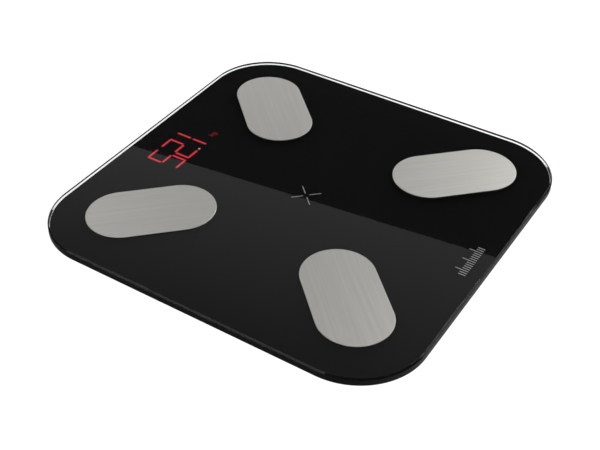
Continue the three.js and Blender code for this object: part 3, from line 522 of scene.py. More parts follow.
def plate_tree():
    """Geometry nodes that sweep an edge profile round a rounded rectangle and close it, with four holes."""
    tree = bpy.data.node_groups.new("ground_edge_plate", "GeometryNodeTree")
    tree.interface.new_socket("Geometry", in_out="OUTPUT", socket_type="NodeSocketGeometry")
    tree.interface.new_socket("Profile", in_out="INPUT", socket_type="NodeSocketGeometry")
    for name, value in (("Side X", 260 * MM), ("Side Y", 260 * MM), ("Corner Radius", 44 * MM),
                        ("Underside", 18 * MM), ("Thickness", 6 * MM), ("Hole Radius", 2.5 * MM),
                        ("Hole Span X", 142 * MM), ("Hole Span Y", 142 * MM)):
        socket = tree.interface.new_socket(name, in_out="INPUT", socket_type="NodeSocketFloat")
        socket.subtype = "DISTANCE"
        socket.default_value = value
    for name, value in (("Corner Steps", 40), ("Hole Steps", 32)):
        socket = tree.interface.new_socket(name, in_out="INPUT", socket_type="NodeSocketInt")
        socket.default_value = value
    tree.interface.new_socket("Finish", in_out="INPUT", socket_type="NodeSocketMaterial")
    given = node(tree, "NodeGroupInput").outputs

    # The ground edge: the section swept round the outline.
    square = node(tree, "GeometryNodeCurvePrimitiveQuadrilateral", links={
        "Width": given["Side X"], "Height": given["Side Y"]})
    path = node(tree, "GeometryNodeFilletCurve", {"mode": "POLY", "Limit Radius": True}, {
        "Curve": square.outputs[0], "Radius": given["Corner Radius"], "Count": given["Corner Steps"]})
    level = node(tree, "GeometryNodeSetCurveNormal", {"mode": "Z_UP"}, {"Curve": path.outputs[0]})
    section = node(tree, "GeometryNodeMeshToCurve", links={"Mesh": given["Profile"]})
    band = node(tree, "GeometryNodeCurveToMesh", links={
        "Curve": level.outputs[0], "Profile Curve": section.outputs[0]})

    # The flat faces: the section has the same inset at both ends, so its upper rim gives them both.
    place = node(tree, "GeometryNodeInputPosition")
    height = node(tree, "ShaderNodeSeparateXYZ", links={0: place.outputs[0]})
    nearly = node(tree, "ShaderNodeMath", {"operation": "SUBTRACT", 1: 0.002 * MM}, {0: given["Thickness"]})
    at_top = node(tree, "ShaderNodeMath", {"operation": "GREATER_THAN"}, {
        0: height.outputs[2], 1: nearly.outputs[0]})
    rim = node(tree, "GeometryNodeMeshToCurve", links={
        "Mesh": band.outputs[0], "Selection": at_top.outputs[0]})
    circle = node(tree, "GeometryNodeCurvePrimitiveCircle", links={
        "Resolution": given["Hole Steps"], "Radius": given["Hole Radius"]})
    centres = node(tree, "GeometryNodeMeshGrid", {"Vertices X": 2, "Vertices Y": 2}, {
        "Size X": given["Hole Span X"], "Size Y": given["Hole Span Y"]})
    rings = node(tree, "GeometryNodeInstanceOnPoints", links={
        "Points": centres.outputs[0], "Instance": circle.outputs[0]})
    edges = node(tree, "GeometryNodeJoinGeometry")
    tree.links.new(rings.outputs[0], edges.inputs[0])
    tree.links.new(rim.outputs[0], edges.inputs[0])
    flat = node(tree, "GeometryNodeRealizeInstances", links={0: edges.outputs[0]})
    face = node(tree, "GeometryNodeFillCurve", {"mode": "TRIANGLES"}, {"Curve": flat.outputs[0]})
    lift = node(tree, "ShaderNodeCombineXYZ", links={"Z": given["Thickness"]})
    top = node(tree, "GeometryNodeSetPosition", links={
        "Geometry": face.outputs[0], "Offset": lift.outputs[0]})
    bottom = node(tree, "GeometryNodeFlipFaces", links={"Mesh": face.outputs[0]})

    # The walls of the holes, facing inwards, and then the whole plate at its own height.
    tube = node(tree, "GeometryNodeMeshCylinder", {"fill_type": "NONE"}, {
        "Vertices": given["Hole Steps"], "Radius": given["Hole Radius"], "Depth": given["Thickness"]})
    inward = node(tree, "GeometryNodeFlipFaces", links={"Mesh": tube.outputs[0]})
    walls = node(tree, "GeometryNodeInstanceOnPoints", links={
        "Points": centres.outputs[0], "Instance": inward.outputs[0]})
    half = node(tree, "ShaderNodeVectorMath", {"operation": "SCALE", "Scale": 0.5}, {0: lift.outputs[0]})
    raised = node(tree, "GeometryNodeTransform", links={
        "Geometry": walls.outputs[0], "Translation": half.outputs[0]})
    whole = node(tree, "GeometryNodeJoinGeometry")
    for part in (band, top, bottom, raised):
        tree.links.new(part.outputs[0], whole.inputs[0])
    real = node(tree, "GeometryNodeRealizeInstances", links={0: whole.outputs[0]})
    closed = node(tree, "GeometryNodeMergeByDistance", {"Distance": 0.002 * MM},
                  {"Geometry": real.outputs[0]})
    seat = node(tree, "ShaderNodeCombineXYZ", links={"Z": given["Underside"]})
    placed = node(tree, "GeometryNodeTransform", links={
        "Geometry": closed.outputs[0], "Translation": seat.outputs[0]})
    again = node(tree, "GeometryNodeRealizeInstances", links={0: placed.outputs[0]})
    finished = node(tree, "GeometryNodeSetMaterial", links={
        "Geometry": again.outputs[0], "Material": given["Finish"]})
    out = node(tree, "NodeGroupOutput")
    tree.links.new(finished.outputs[0], out.inputs[0])
    return tree


def ground_plate(name, profile, values, smooth_angle):
    """A flat plate with its edge ground to a profile of (inset, height) points from the bottom up.

    `values` are the inputs of the plate's tree by name.
    """
    mesh = bpy.data.meshes.new(name)
    # The sweep turns the section's X outwards and its Y down, and runs from the top.
    mesh.from_pydata([(-inset, -height, 0) for inset, height in reversed(profile)],
                     [(i, i + 1) for i in range(len(profile) - 1)], [])
    piece = grown(name, mesh, plate_tree(), values)
    piece.data.shade_smooth()
    piece.data.set_sharp_from_angle(angle=math.radians(smooth_angle))
    return piece


def bar_tree():
    """Geometry nodes that lay one round-ended bar on each point, turned and stretched by the point."""
    tree = bpy.data.node_groups.new("round_ended_bars", "GeometryNodeTree")
    tree.interface.new_socket("Geometry", in_out="OUTPUT", socket_type="NodeSocketGeometry")
    tree.interface.new_socket("Points", in_out="INPUT", socket_type="NodeSocketGeometry")
    for name, value in (("Length", 10 * MM), ("Width", 1.6 * MM), ("Height", 0.03 * MM)):
        socket = tree.interface.new_socket(name, in_out="INPUT", socket_type="NodeSocketFloat")
        socket.subtype = "DISTANCE"
        socket.default_value = value
    steps = tree.interface.new_socket("Corner Steps", in_out="INPUT", socket_type="NodeSocketInt")
    steps.default_value = 5
    tree.interface.new_socket("Finish", in_out="INPUT", socket_type="NodeSocketMaterial")
    given = node(tree, "NodeGroupInput").outputs
    outline = node(tree, "GeometryNodeCurvePrimitiveQuadrilateral", links={
        "Width": given["Length"], "Height": given["Width"]})
    half = node(tree, "ShaderNodeMath", {"operation": "MULTIPLY", 1: 0.499}, {0: given["Width"]})
    rounded = node(tree, "GeometryNodeFilletCurve", {"mode": "POLY", "Limit Radius": True}, {
        "Curve": outline.outputs[0], "Radius": half.outputs[0], "Count": given["Corner Steps"]})
    face = node(tree, "GeometryNodeFillCurve", {"mode": "NGONS"}, {"Curve": rounded.outputs[0]})
    raised = node(tree, "GeometryNodeExtrudeMesh", {"mode": "FACES", "Individual": False}, {
        "Mesh": face.outputs[0], "Offset Scale": given["Height"]})
    under = node(tree, "GeometryNodeFlipFaces", links={"Mesh": face.outputs[0]})
    whole = node(tree, "GeometryNodeJoinGeometry")
    tree.links.new(raised.outputs["Mesh"], whole.inputs[0])
    tree.links.new(under.outputs[0], whole.inputs[0])
    closed = node(tree, "GeometryNodeMergeByDistance", {"Distance": 0.002 * MM},
                  {"Geometry": whole.outputs[0]})
    turn = node(tree, "GeometryNodeInputNamedAttribute", {"data_type": "FLOAT", "Name": "turn"})
    reach = node(tree, "GeometryNodeInputNamedAttribute", {"data_type": "FLOAT", "Name": "reach"})
    spin = node(tree, "ShaderNodeCombineXYZ", links={"Z": turn.outputs[0]})
    size = node(tree, "ShaderNodeCombineXYZ", {"Y": 1.0, "Z": 1.0}, {"X": reach.outputs[0]})
    laid = node(tree, "GeometryNodeInstanceOnPoints", links={
        "Points": given["Points"], "Instance": closed.outputs[0],
        "Rotation": spin.outputs[0], "Scale": size.outputs[0]})
    real = node(tree, "GeometryNodeRealizeInstances", links={0: laid.outputs[0]})
    finished = node(tree, "GeometryNodeSetMaterial", links={
        "Geometry": real.outputs[0], "Material": given["Finish"]})
    out = node(tree, "NodeGroupOutput")
    tree.links.new(finished.outputs[0], out.inputs[0])
    return tree


def bars(name, places, length, width, height, material, steps=5):
    """A piece of round-ended bars; each place is (x, y, z, turn, reach), reach being a share of length."""
    mesh = bpy.data.meshes.new(name)
    mesh.from_pydata([place[:3] for place in places], [], [])
    for column, attribute in ((3, "turn"), (4, "reach")):
        layer = mesh.attributes.new(attribute, "FLOAT", "POINT")
        layer.data.foreach_set("value", [place[column] for place in places])
    tree = bpy.data.node_groups.get("round_ended_bars") or bar_tree()
    return grown(name, mesh, tree, {"Length": length, "Width": width, "Height": height,
                                    "Corner Steps": steps, "Finish": material})


# ---------------------------------------------------------------- settings

class ScaleSettings(bpy.types.PropertyGroup):
    """Sizes and colours of the scale that a user would change."""

    corner_radius: FloatProperty(
        name="Corner Radius", description="Radius of the platform's corners", default=44.4 * MM,
        min=5 * MM, max=120 * MM, unit="LENGTH")
    chamfer: FloatProperty(
        name="Glass Chamfer", description="Width of the ground edge of the glass", default=1.0 * MM,
        min=0.2 * MM, max=2.5 * MM, unit="LENGTH")
    bare_edge: FloatProperty(
        name="Bare Edge", description="Clear strip of glass left round the black print",
        default=0.1 * MM, min=0.0, max=6 * MM, unit="LENGTH")
    reading: IntProperty(
        name="Reading", description="Weight shown, in tenths", default=521, min=0, max=999)
    lit_colour: FloatVectorProperty(
        name="Lit Colour", description="Colour of the lit figures", subtype="COLOR", size=4,
        min=0, max=1, default=linear("D23C46"))
    figure_width: FloatProperty(
        name="Figure Width", description="Width between the middles of a figure's uprights",
        default=10.7 * MM, min=4 * MM, max=20 * MM, unit="LENGTH")
    figure_height: FloatProperty(
        name="Figure Height", description="Height between the middles of a figure's end bars",
        default=22.9 * MM, min=8 * MM, max=40 * MM, unit="LENGTH")
    tick_count: IntProperty(
        name="Ruler Marks", description="Number of short marks printed near the heel edge",
        default=15, min=2, max=60)
    grip_ribs: IntProperty(
        name="Grip Ribs", description="Number of ribs on the battery door's latch", default=5,
        min=1, max=12)
    tread_rings: IntProperty(
        name="Tread Rings", description="Number of grooves in each rubber foot", default=4,
        min=1, max=8)
    lamp: FloatProperty(
        name="Overhead Light", description="Strength of the broad overhead light", default=0.5,
        min=0.0, max=20.0)
    panel_glow: FloatProperty(
        name="Grey Panel", description="Brightness of the grey panel that the glass mirrors",
        default=0.34, min=0.0, max=4.0)


def settings():
    """The scene's scale settings."""
    return bpy.context.scene.glass_scale


# ---------------------------------------------------------------- pieces

class SCALE_OT_platform(bpy.types.Operator):
    """Glass platform with ground edges and the black enamel fired to its back"""

    bl_idname = "glass_scale.platform"
    bl_label = "Glass Platform"

    def execute(self, context):
        chosen = settings()
        low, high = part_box("glass_platform")
        corner, cut, thick = chosen.corner_radius, chosen.chamfer, high.z - low.z
        studs = [centre_of("contact_stud_" + name) for name in CORNERS]
        # The ground chamfers meet each face over a tiny arris, as a pencil stone leaves them.
        soft = 0.06 * cut
        lower = ((cut + soft, 0.0), (cut - 0.6 * soft, 0.4 * soft), (0.6 * soft, cut - 0.4 * soft),
                 (0.0, cut + soft))
        upper = tuple((inset, thick - height) for inset, height in reversed(lower))
        glass = ground_plate("platform_glass", lower + upper, {
            "Side X": high.x - low.x, "Side Y": high.y - low.y, "Corner Radius": corner,
            "Underside": low.z, "Thickness": thick, "Hole Radius": STUD_HOLE_R,
            "Hole Span X": 2 * abs(studs[0].x), "Hole Span Y": 2 * abs(studs[0].y),
            "Corner Steps": 40, "Hole Steps": 32, "Finish": toughened_glass()}, 10)
        dressed(glass, None, "scale_body", "glass", "glass_platform")

        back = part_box("back_print")[0]
        display = centre_of("display_filter")
        margin = cut + chosen.bare_edge
        printed = rounded_outline(high.x - margin, high.y - margin, corner - margin, 40)
        window = [p + Vector((display.x, display.y))
                  for p in rounded_outline(28.5 * MM, 12.5 * MM, 0.5 * MM, 4)]
        gaps = [circle_outline(p.x, p.y, 4.6 * MM, 32) for p in studs]
        heights = ((0.0, back.z), (0.0, low.z + FUSED))
        black = bmesh.new()
        plate(black, lambda inset: printed, heights, [window, *gaps])
        dressed(to_object("enamel_print", black), fired_enamel(), "scale_body", "black_print", "back_print")

        smoked = bmesh.new()
        plate(smoked, lambda inset: window, heights)
        dressed(to_object("window_print", smoked), smoked_ink(), "scale_body", "black_print")
        return {"FINISHED"}


class SCALE_OT_pads(bpy.types.Operator):
    """Four bonded steel electrode pads with their grain along the length"""

    bl_idname = "glass_scale.pads"
    bl_label = "Electrode Pads"

    def execute(self, context):
        steel = brushed_steel()
        for name in CORNERS:
            node_name = "electrode_pad_" + name
            low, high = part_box(node_name)
            middle = (low + high) / 2
            angle = math.atan2(middle.y, middle.x)
            across = Vector((math.cos(angle), math.sin(angle)))
            # Along a diagonal, a slot of length L and width W spans W + (L - W) / sqrt 2.
            width = 46 * MM
            length = width + ((high.x - low.x) - width) * math.sqrt(2)
            cut = 0.2 * MM

            def outline(inset):
                points = rounded_outline(length / 2 - inset, width / 2 - inset, width / 2 - inset, 28)
                return [Vector((middle.x + p.x * across.x - p.y * across.y,
                                middle.y + p.x * across.y + p.y * across.x)) for p in points]

            pad = bmesh.new()
            plate(pad, outline, ((0.0, low.z), (0.0, high.z - cut), (0.07 * MM, high.z - 0.07 * MM),
                                 (cut, high.z), (0.9 * MM, high.z)))
            grain = pad.loops.layers.uv.new("grain")
            for face in pad.faces:
                for loop in face.loops:
                    spot = loop.vert.co.xy - middle.xy
                    along = spot.dot(across)
                    over = spot.dot(Vector((-across.y, across.x)))
                    loop[grain].uv = (along + middle.x, over + middle.y)
            dressed(to_object("pad_" + name, pad, 10), steel, "scale_body", "brushed_pad", node_name)
        return {"FINISHED"}


class SCALE_OT_display(bpy.types.Operator):
    """Lit figures, decimal point and unit sign under the glass"""

    bl_idname = "glass_scale.display"
    bl_label = "Lit Display"

    def execute(self, context):
        chosen = settings()
        width, height = chosen.figure_width, chosen.figure_height
        window = centre_of("display_filter")
        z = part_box("glass_platform")[0].z + MARK_LIFT
        half_x, half_y = width / 2, height / 2
        # Uprights are a little longer than the level bars and leave a gap at the middle.
        lift, tall = half_y / 2 + 0.72 * MM, 1.147
        spots = {
            "a": (0, half_y, 0, 1), "g": (0, 0, 0, 1), "d": (0, -half_y, 0, 1),
            "b": (half_x, lift, 1, tall), "c": (half_x, -lift, 1, tall),
            "f": (-half_x, lift, 1, tall), "e": (-half_x, -lift, 1, tall)}
        places = []
        pitch, first = 14.3 * MM, -19.8 * MM
        for index, digit in enumerate(f"{chosen.reading:03d}"):
            x = window.x + (index * pitch + first)
            for bar in FIGURE_BARS[int(digit)]:
                dx, dy, upright, reach = spots[bar]
                # A one is lit down the middle of its place.
                dx = 0.0 if digit == "1" else dx
                places.append((x + dx, window.y + dy, z, upright * math.pi / 2, reach))
        lit = lit_diode("red_diode_through_diffuser", chosen.lit_colour,
                        (chosen.lit_colour[0] * 0.82, chosen.lit_colour[1], chosen.lit_colour[2], 1), 1.12)
        spill = lit_diode("red_diode_spill", linear("74141A"), linear("5A0E13"), 1.0)
        point = lit_diode("red_diode_bare", linear("E8AEB0"), linear("DB9498"), 1.0)
        dim = lit_diode("red_diode_dim", linear("9A2028"), linear("84181F"), 1.0)
        # Level bars end short of the corners, and each layer is as much longer as it is wider.
        stroke = 1.2 * MM
        bar_length = width - stroke
        for piece, finish, wide, rise in (("figures_lit", lit, 1.25 * MM, LIT_LIFT),
                                          ("figures_spill", spill, 2.3 * MM, 0.0)):
            raised = [(x, y, h + rise, turn, reach) for x, y, h, turn, reach in places]
            made = bars(piece, raised, bar_length + wide - stroke, wide, 0.01 * MM, finish)
            dressed(made, None, "scale_body", "smoked_filter")
        dot = (window.x + 1.7 * MM, window.y - half_y, z + LIT_LIFT, 0, 1)
        made = bars("decimal_point", [dot], 1.5 * MM, 1.5 * MM, 0.01 * MM, point, steps=8)
        dressed(made, None, "scale_body", "smoked_filter")
        unit_x, unit_y = window.x + 21.8 * MM, window.y - half_y + 2.6 * MM
        # Strokes of the unit sign: middle x and y in millimetres, turn in degrees, length in millimetres.
        strokes = [
            (-2.9, 0.3, 90, 4.4), (-1.7, 0.2, 35, 2.3), (-1.6, -1.1, -48, 2.4),
            (0.6, 0.5, 0, 2.0), (0.6, -1.3, 0, 2.0), (-0.5, -0.4, 90, 1.8), (1.7, -0.9, 90, 3.4),
            (0.6, -2.6, 0, 2.2)]
        letters = [(unit_x + x * MM, unit_y + y * MM, z + LIT_LIFT, math.radians(turn), reach / 2)
                   for x, y, turn, reach in strokes]
        made = bars("unit_sign", letters, 2 * MM, 0.42 * MM, 0.01 * MM, dim, steps=3)
        dressed(made, None, "scale_body", "smoked_filter")
        return {"FINISHED"}


class SCALE_OT_marks(bpy.types.Operator):
    """Light printed marks: the crossed centre strokes and a short row of ruler marks"""

    bl_idname = "glass_scale.marks"
    bl_label = "Printed Marks"

    def execute(self, context):
        chosen = settings()
        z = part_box("glass_platform")[0].z + MARK_LIFT
        grey = grey_frit("ceramic_frit_screen_printed_grey", "C6C8C9", "B6B8B9")
        strokes = []
        for quarter in range(4):
            angle = math.pi / 4 + quarter * math.pi / 2
            out = 4.25 * math.sqrt(2) * MM
            strokes.append((out * math.cos(angle), out * math.sin(angle), z, angle, 1.0))
        cross = bars("centre_cross", strokes, 8.06 * MM, 0.5 * MM, 0.004 * MM, grey, steps=2)
        dressed(cross, None, "scale_body", "black_print")

        count = chosen.tick_count
        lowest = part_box("glass_platform")[0].y
        ruler_y, span, longest = lowest + 14.7 * MM, 28 * MM, 8.7 * MM
        ticks = []
        for index in range(count):
            tall = 1.0 if index % 5 == 2 else 0.55
            x = -span / 2 + span * index / (count - 1)
            # Marks stand on one line, so the middle of a shorter one sits lower.
            y = ruler_y + (tall - 1.0) * longest / 2
            ticks.append((x, y, z, math.pi / 2, tall))
        ruler = bars("ruler_marks", ticks, longest, 0.55 * MM, 0.004 * MM, grey, steps=2)
        dressed(ruler, None, "scale_body", "black_print")
        return {"FINISHED"}


class SCALE_OT_base(bpy.types.Operator):
    """Base shell, battery door with grip ribs, and the unit button"""

    bl_idname = "glass_scale.base"
    bl_label = "Base and Door"

    def execute(self, context):
        chosen = settings()
        black, gloss = moulded_black_abs(), moulded_gloss_abs()
        dressed(smooth_copy("base_tray", "base_shell", smooth_angle=28), black, "scale_body",
                "base_plastic", "base_shell")
        dressed(smooth_copy("battery_cover", "battery_door", 0.18 * MM), black, "door",
                "base_plastic", "battery_door")

        low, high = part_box("battery_door")
        count = chosen.grip_ribs
        ribs = []
        for index in range(count):
            y = high.y - 2.2 * MM - index * 1.3 * MM
            ribs.append((0.0, y, low.z - 0.3 * MM, 0.0, 1.0))
        grip = bars("battery_cover_grip", ribs, 11 * MM, 0.7 * MM, 0.35 * MM, black)
        dressed(grip, None, "door", "base_plastic")

        low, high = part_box("unit_button")
        x, y = (low.x + high.x) / 2, (low.y + high.y) / 2
        press = bmesh.new()
        turned(press, (
            (0, low.z + 0.35 * MM), (1.6 * MM, low.z + 0.3 * MM), (3.0 * MM, low.z + 0.12 * MM),
            (3.6 * MM, low.z + 0.02 * MM), (4.0 * MM, low.z), (4.3 * MM, low.z + 0.1 * MM),
            (4.46 * MM, low.z + 0.28 * MM), (4.5 * MM, low.z + 0.5 * MM), (4.5 * MM, low.z + 2.3 * MM),
            (6.0 * MM, low.z + 2.3 * MM), (6.0 * MM, low.z + 3.0 * MM), (2.0 * MM, low.z + 3.0 * MM),
            (2.0 * MM, high.z), (0, high.z)), x, y, 48)
        dressed(to_object("unit_key", press), gloss, "button", "base_plastic", "unit_button")
        return {"FINISHED"}


class SCALE_OT_feet(bpy.types.Operator):
    """Foot caps and their grooved rubber treads"""

    bl_idname = "glass_scale.feet"
    bl_label = "Feet"

    def execute(self, context):
        black, rubber = moulded_gloss_abs(), moulded_rubber()
        rings = settings().tread_rings
        for name in CORNERS:
            low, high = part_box("foot_cap_" + name)
            x, y, outer = (low.x + high.x) / 2, (low.y + high.y) / 2, (high.x - low.x) / 2
            cap = bmesh.new()
            turned(cap, (
                (0, low.z), (outer - 0.9 * MM, low.z), (outer - 0.45 * MM, low.z + 0.12 * MM),
                (outer - 0.12 * MM, low.z + 0.45 * MM), (outer, low.z + 0.9 * MM),
                (outer, low.z + 2.8 * MM), (outer - 0.2 * MM, low.z + 3.0 * MM),
                (16.0 * MM, low.z + 3.0 * MM), (16.0 * MM, low.z + 5.0 * MM),
                (14.0 * MM, low.z + 5.0 * MM), (14.0 * MM, low.z + 3.0 * MM),
                (4.0 * MM, low.z + 3.0 * MM), (4.0 * MM, high.z), (0, high.z)), x, y)
            dressed(to_object("foot_shell_" + name, cap), black, "foot_" + name, "base_plastic",
                    "foot_cap_" + name)

            low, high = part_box("foot_rubber_" + name)
            outer = (high.x - low.x) / 2
            inner = 3.4 * MM
            pitch = (outer - 1.6 * MM - inner) / rings
            profile = [(0, low.z + 0.45 * MM), (inner - 0.6 * MM, low.z + 0.45 * MM), (inner, low.z)]
            for index in range(rings):
                start = inner + index * pitch
                if index < rings - 1:
                    profile += [(start + 0.62 * pitch, low.z), (start + 0.7 * pitch, low.z + 0.45 * MM),
                                (start + 0.92 * pitch, low.z + 0.45 * MM), (start + pitch, low.z)]
            profile += [(outer - 0.7 * MM, low.z), (outer - 0.3 * MM, low.z + 0.14 * MM),
                        (outer - 0.05 * MM, low.z + 0.5 * MM), (outer, low.z + 0.8 * MM),
                        (outer, high.z), (0, high.z)]
            tread = bmesh.new()
            turned(tread, profile, x, y)
            dressed(to_object("foot_tread_" + name, tread, 25), rubber, "foot_" + name, "foot_rubber",
                    "foot_rubber_" + name)
        return {"FINISHED"}


class SCALE_OT_inner_parts(bpy.types.Operator):
    """Finishes of the parts inside the base"""

    bl_idname = "glass_scale.inner_parts"
    bl_label = "Inner Parts"

    def execute(self, context):
        finishes = {
            "glass_tape": closed_cell_foam(),
            "contact_stud": flashed_brass("brass_turned_nickel_flashed"),
            "load_cell_lead": silicone_lead(), "load_cell": blanked_steel(),
            "cell_carrier": moulded_white_abs(), "display_filter": smoked_acrylic(),
            "display_diffuser": opal_polycarbonate(), "segment_reflector": moulded_white_abs(),
            "display_screw": zinc_plated_screw(), "display_board": solder_masked_board(),
            "processor_chip": moulded_epoxy(), "radio_module": tinned_can(),
            "display_ribbon": polyimide_ribbon(),
            "battery_contacts": flashed_brass("brass_pressed_nickel_flashed"),
        }
        finishes.update({
            "electrode_lead": finishes["load_cell_lead"], "battery_lead": finishes["load_cell_lead"],
            "board_screw": finishes["display_screw"], "main_board": finishes["display_board"],
            "tactile_switch": finishes["processor_chip"], "battery_": sleeved_cell(),
        })
        order = sorted(finishes, key=len, reverse=True)
        for name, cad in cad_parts.items():
            if cad.hide_render:
                continue
            finish = finishes[next(start for start in order if name.startswith(start))]
            cad.data.materials.clear()
            cad.data.materials.append(finish)
        return {"FINISHED"}


class SCALE_OT_stage(bpy.types.Operator):
    """Pale floor, broad overhead light, grey panel for the glass to mirror, and the camera"""

    bl_idname = "glass_scale.stage"
    bl_label = "Stage and Camera"

    def execute(self, context):
        chosen = settings()
        scene = context.scene
        scene.view_settings.view_transform = "Standard"

        floor = bpy.data.meshes.new("floor")
        floor.from_pydata([(-30, -30, 0), (30, -30, 0), (30, 30, 0), (-30, 30, 0)], [], [(0, 1, 2, 3)])
        ground = bpy.data.objects.new("floor", floor)
        scene.collection.objects.link(ground)
        material, tree, out = new_material("painted_board_softly_lit")
        paint = node(tree, "ShaderNodeBsdfDiffuse", {"Color": linear("3C3C3C")})
        # Mirrored by the glass, or seen through its near edges, the floor glows far less and darkest
        # towards -X: painted shade that keeps those edges dark. Seen straight on it stays evenly bright.
        place = node(tree, "ShaderNodeTexCoord").outputs["Object"]
        across = node(tree, "ShaderNodeSeparateXYZ", links={0: place})
        mirrored_floor_shade = node(tree, "ShaderNodeMapRange", {
            "From Min": -160 * MM, "From Max": -80 * MM, "To Min": 0.02, "To Max": 0.22},
            {"Value": across.outputs[0]})
        path = node(tree, "ShaderNodeLightPath")
        mirrored = node(tree, "ShaderNodeMath", {"operation": "MULTIPLY"}, {
            0: path.outputs["Is Glossy Ray"], 1: path.outputs["Is Reflection Ray"]})
        edge_x, edge_y = CAD_BOX[0].x + 3 * MM, CAD_BOX[0].y + 3 * MM
        left = node(tree, "ShaderNodeMath", {"operation": "LESS_THAN", 1: edge_x}, {0: across.outputs[0]})
        front = node(tree, "ShaderNodeMath", {"operation": "LESS_THAN", 1: edge_y}, {0: across.outputs[1]})
        near = node(tree, "ShaderNodeMath", {"operation": "MAXIMUM"}, {
            0: left.outputs[0], 1: front.outputs[0]})
        through = node(tree, "ShaderNodeMath", {"operation": "MULTIPLY"}, {
            0: path.outputs["Is Transmission Ray"], 1: near.outputs[0]})
        # Rays that see the floor's painted shade: mirror rays anywhere, and rays through the glass near its
        # near edges.
        painted_shade_rays = node(tree, "ShaderNodeMath", {"operation": "MAXIMUM"}, {
            0: mirrored.outputs[0], 1: through.outputs[0]})
        level = node(tree, "ShaderNodeMix", {"data_type": "FLOAT", 2: 1.05}, {
            0: painted_shade_rays.outputs[0], 3: mirrored_floor_shade.outputs[0]})
        glow = node(tree, "ShaderNodeEmission", {"Color": linear("FFFFFF")}, {"Strength": level.outputs[0]})
        both = node(tree, "ShaderNodeAddShader", links={0: paint.outputs[0], 1: glow.outputs[0]})
        # Seen from below the floor is left out, so that the underside can be looked at.
        clear = node(tree, "ShaderNodeBsdfTransparent")
        side = node(tree, "ShaderNodeNewGeometry")
        mix = node(tree, "ShaderNodeMixShader", links={
            0: side.outputs["Backfacing"], 1: both.outputs[0], 2: clear.outputs[0]})
        tree.links.new(mix.outputs[0], out.inputs[0])
        floor.materials.append(material)

        # The glass mirrors the panel as a grey field, and the panel's lower edge as its straight border.
        far = Vector((0.9934, 0.1150, 0.0))
        level = Vector((-0.1150, 0.9934, 0.0))
        foot = Vector((-0.4818, -0.2850, 0.0)) + far * 2.0
        left, right = foot - level * 0.9, foot + level * 2.9
        border, tall = 1.300, 1.1
        material, tree, out = new_material("grey_card_graded")
        place = node(tree, "ShaderNodeTexCoord").outputs["Object"]
        height = node(tree, "ShaderNodeSeparateXYZ", links={0: place})
        fade = node(tree, "ShaderNodeMapRange", {
            "From Min": border, "From Max": border + 0.65, "To Min": chosen.panel_glow,
            "To Max": chosen.panel_glow * 0.33}, {"Value": height.outputs[2]})
        glow = node(tree, "ShaderNodeEmission", {"Color": linear("FFFFFF")}, {"Strength": fade.outputs[0]})
        tree.links.new(glow.outputs[0], out.inputs[0])
        glowing_card("grey_panel", [(*left.xy, border), (*right.xy, border), (*right.xy, border + tall),
                                    (*left.xy, border + tall)], material)

        # The left and right panels light the ground edges that face them, with a gap between for the near
        # corner, and the others light the pads. Each has its direction from the scale, half its width and
        # height in metres, and its glow.
        for name, way, half_w, half_h, glow_level in (
                ("left_panel", (-0.634, 0.427, 0.645), 0.85, 0.55, 0.62),
                ("right_panel", (0.645, -0.633, 0.427), 0.5, 0.55, 0.60),
                ("key_panel", (0.755, -0.216, 0.602), 0.80, 0.85, 3.35),
                ("fill_panel", (0.137, 0.776, 0.616), 0.80, 0.85, 1.05),
                ("low_panel", (0.785, 0.563, 0.259), 1.10, 0.36, 1.7)):
            way = Vector(way)
            centre, side = way * 2.2, way.cross(Vector((0, 0, 1))).normalized()
            rise = side.cross(way)
            corners = [centre + side * u * half_w + rise * v * half_h
                       for u, v in ((-1, -1), (1, -1), (1, 1), (-1, 1))]
            material, tree, out = new_material(name + "_cloth")
            glow = node(tree, "ShaderNodeEmission", {"Color": linear("FFFFFF"), "Strength": glow_level})
            tree.links.new(glow.outputs[0], out.inputs[0])
            glowing_card(name, corners, material)

        lamp = bpy.data.lights.new("overhead", "SUN")
        lamp.energy = chosen.lamp
        lamp.angle = math.radians(60)
        overhead = bpy.data.objects.new("overhead", lamp)
        scene.collection.objects.link(overhead)

        world = bpy.data.worlds.new("studio")
        world.use_nodes = True
        tree = world.node_tree
        tree.nodes.clear()
        dark = node(tree, "ShaderNodeBackground", {"Color": linear("FFFFFF"), "Strength": 0.03})
        pale = node(tree, "ShaderNodeBackground", {"Color": linear("FFFFFF"), "Strength": 1.0})
        path = node(tree, "ShaderNodeLightPath")
        mix = node(tree, "ShaderNodeMixShader", links={
            0: path.outputs["Is Camera Ray"], 1: dark.outputs[0], 2: pale.outputs[0]})
        out = node(tree, "ShaderNodeOutputWorld", links={0: mix.outputs[0]})
        scene.world = world

        aim = Vector((-0.0439, 0.0051, 0.02405))
        around, up, distance = math.radians(-56.472), math.radians(39.325), 0.679
        back = Vector((math.sin(around) * math.cos(up), -math.cos(around) * math.cos(up), math.sin(up)))
        lens = bpy.data.cameras.new("camera")
        lens.lens = 65.52
        lens.shift_x = 0.0632
        camera = bpy.data.objects.new("camera", lens)
        camera.location = aim + back * distance
        camera.rotation_mode = "QUATERNION"
        camera.rotation_quaternion = back.to_track_quat("Z", "Y")
        scene.collection.objects.link(camera)
        scene.camera = camera
        return {"FINISHED"}


class SCALE_PT_panel(bpy.types.Panel):
    """Sidebar panel with the settings and the steps"""

    bl_label = "Glass Bathroom Scale"
    bl_idname = "SCALE_PT_panel"
    bl_space_type = "VIEW_3D"
    bl_region_type = "UI"
    bl_category = "Scale"

    def draw(self, context):
        column = self.layout.column()
        for name in ScaleSettings.__annotations__:
            column.prop(context.scene.glass_scale, name)
        for step in STEPS:
            column.operator(step.bl_idname)


STEPS = (SCALE_OT_platform, SCALE_OT_pads, SCALE_OT_display, SCALE_OT_marks, SCALE_OT_base,
         SCALE_OT_feet, SCALE_OT_inner_parts, SCALE_OT_stage)
CLASSES = (ScaleSettings, *STEPS, SCALE_PT_panel)


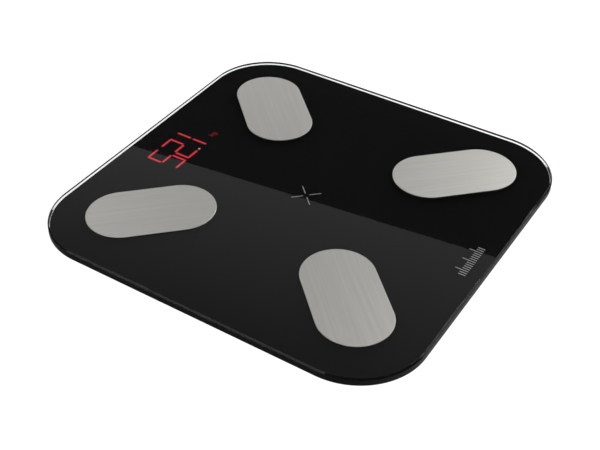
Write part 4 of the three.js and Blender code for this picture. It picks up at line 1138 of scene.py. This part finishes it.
def register():
    """Registers the classes and the scene's settings."""
    for cls in CLASSES:
        bpy.utils.register_class(cls)
    bpy.types.Scene.glass_scale = PointerProperty(type=ScaleSettings)


def unregister():
    """Takes the settings and classes away again."""
    del bpy.types.Scene.glass_scale
    for cls in reversed(CLASSES):
        bpy.utils.unregister_class(cls)


def main():
    """Builds every piece in order."""
    register()
    for step in STEPS:
        family, name = step.bl_idname.split(".")
        getattr(getattr(bpy.ops, family), name)()


if __name__ == "__main__":
    main()
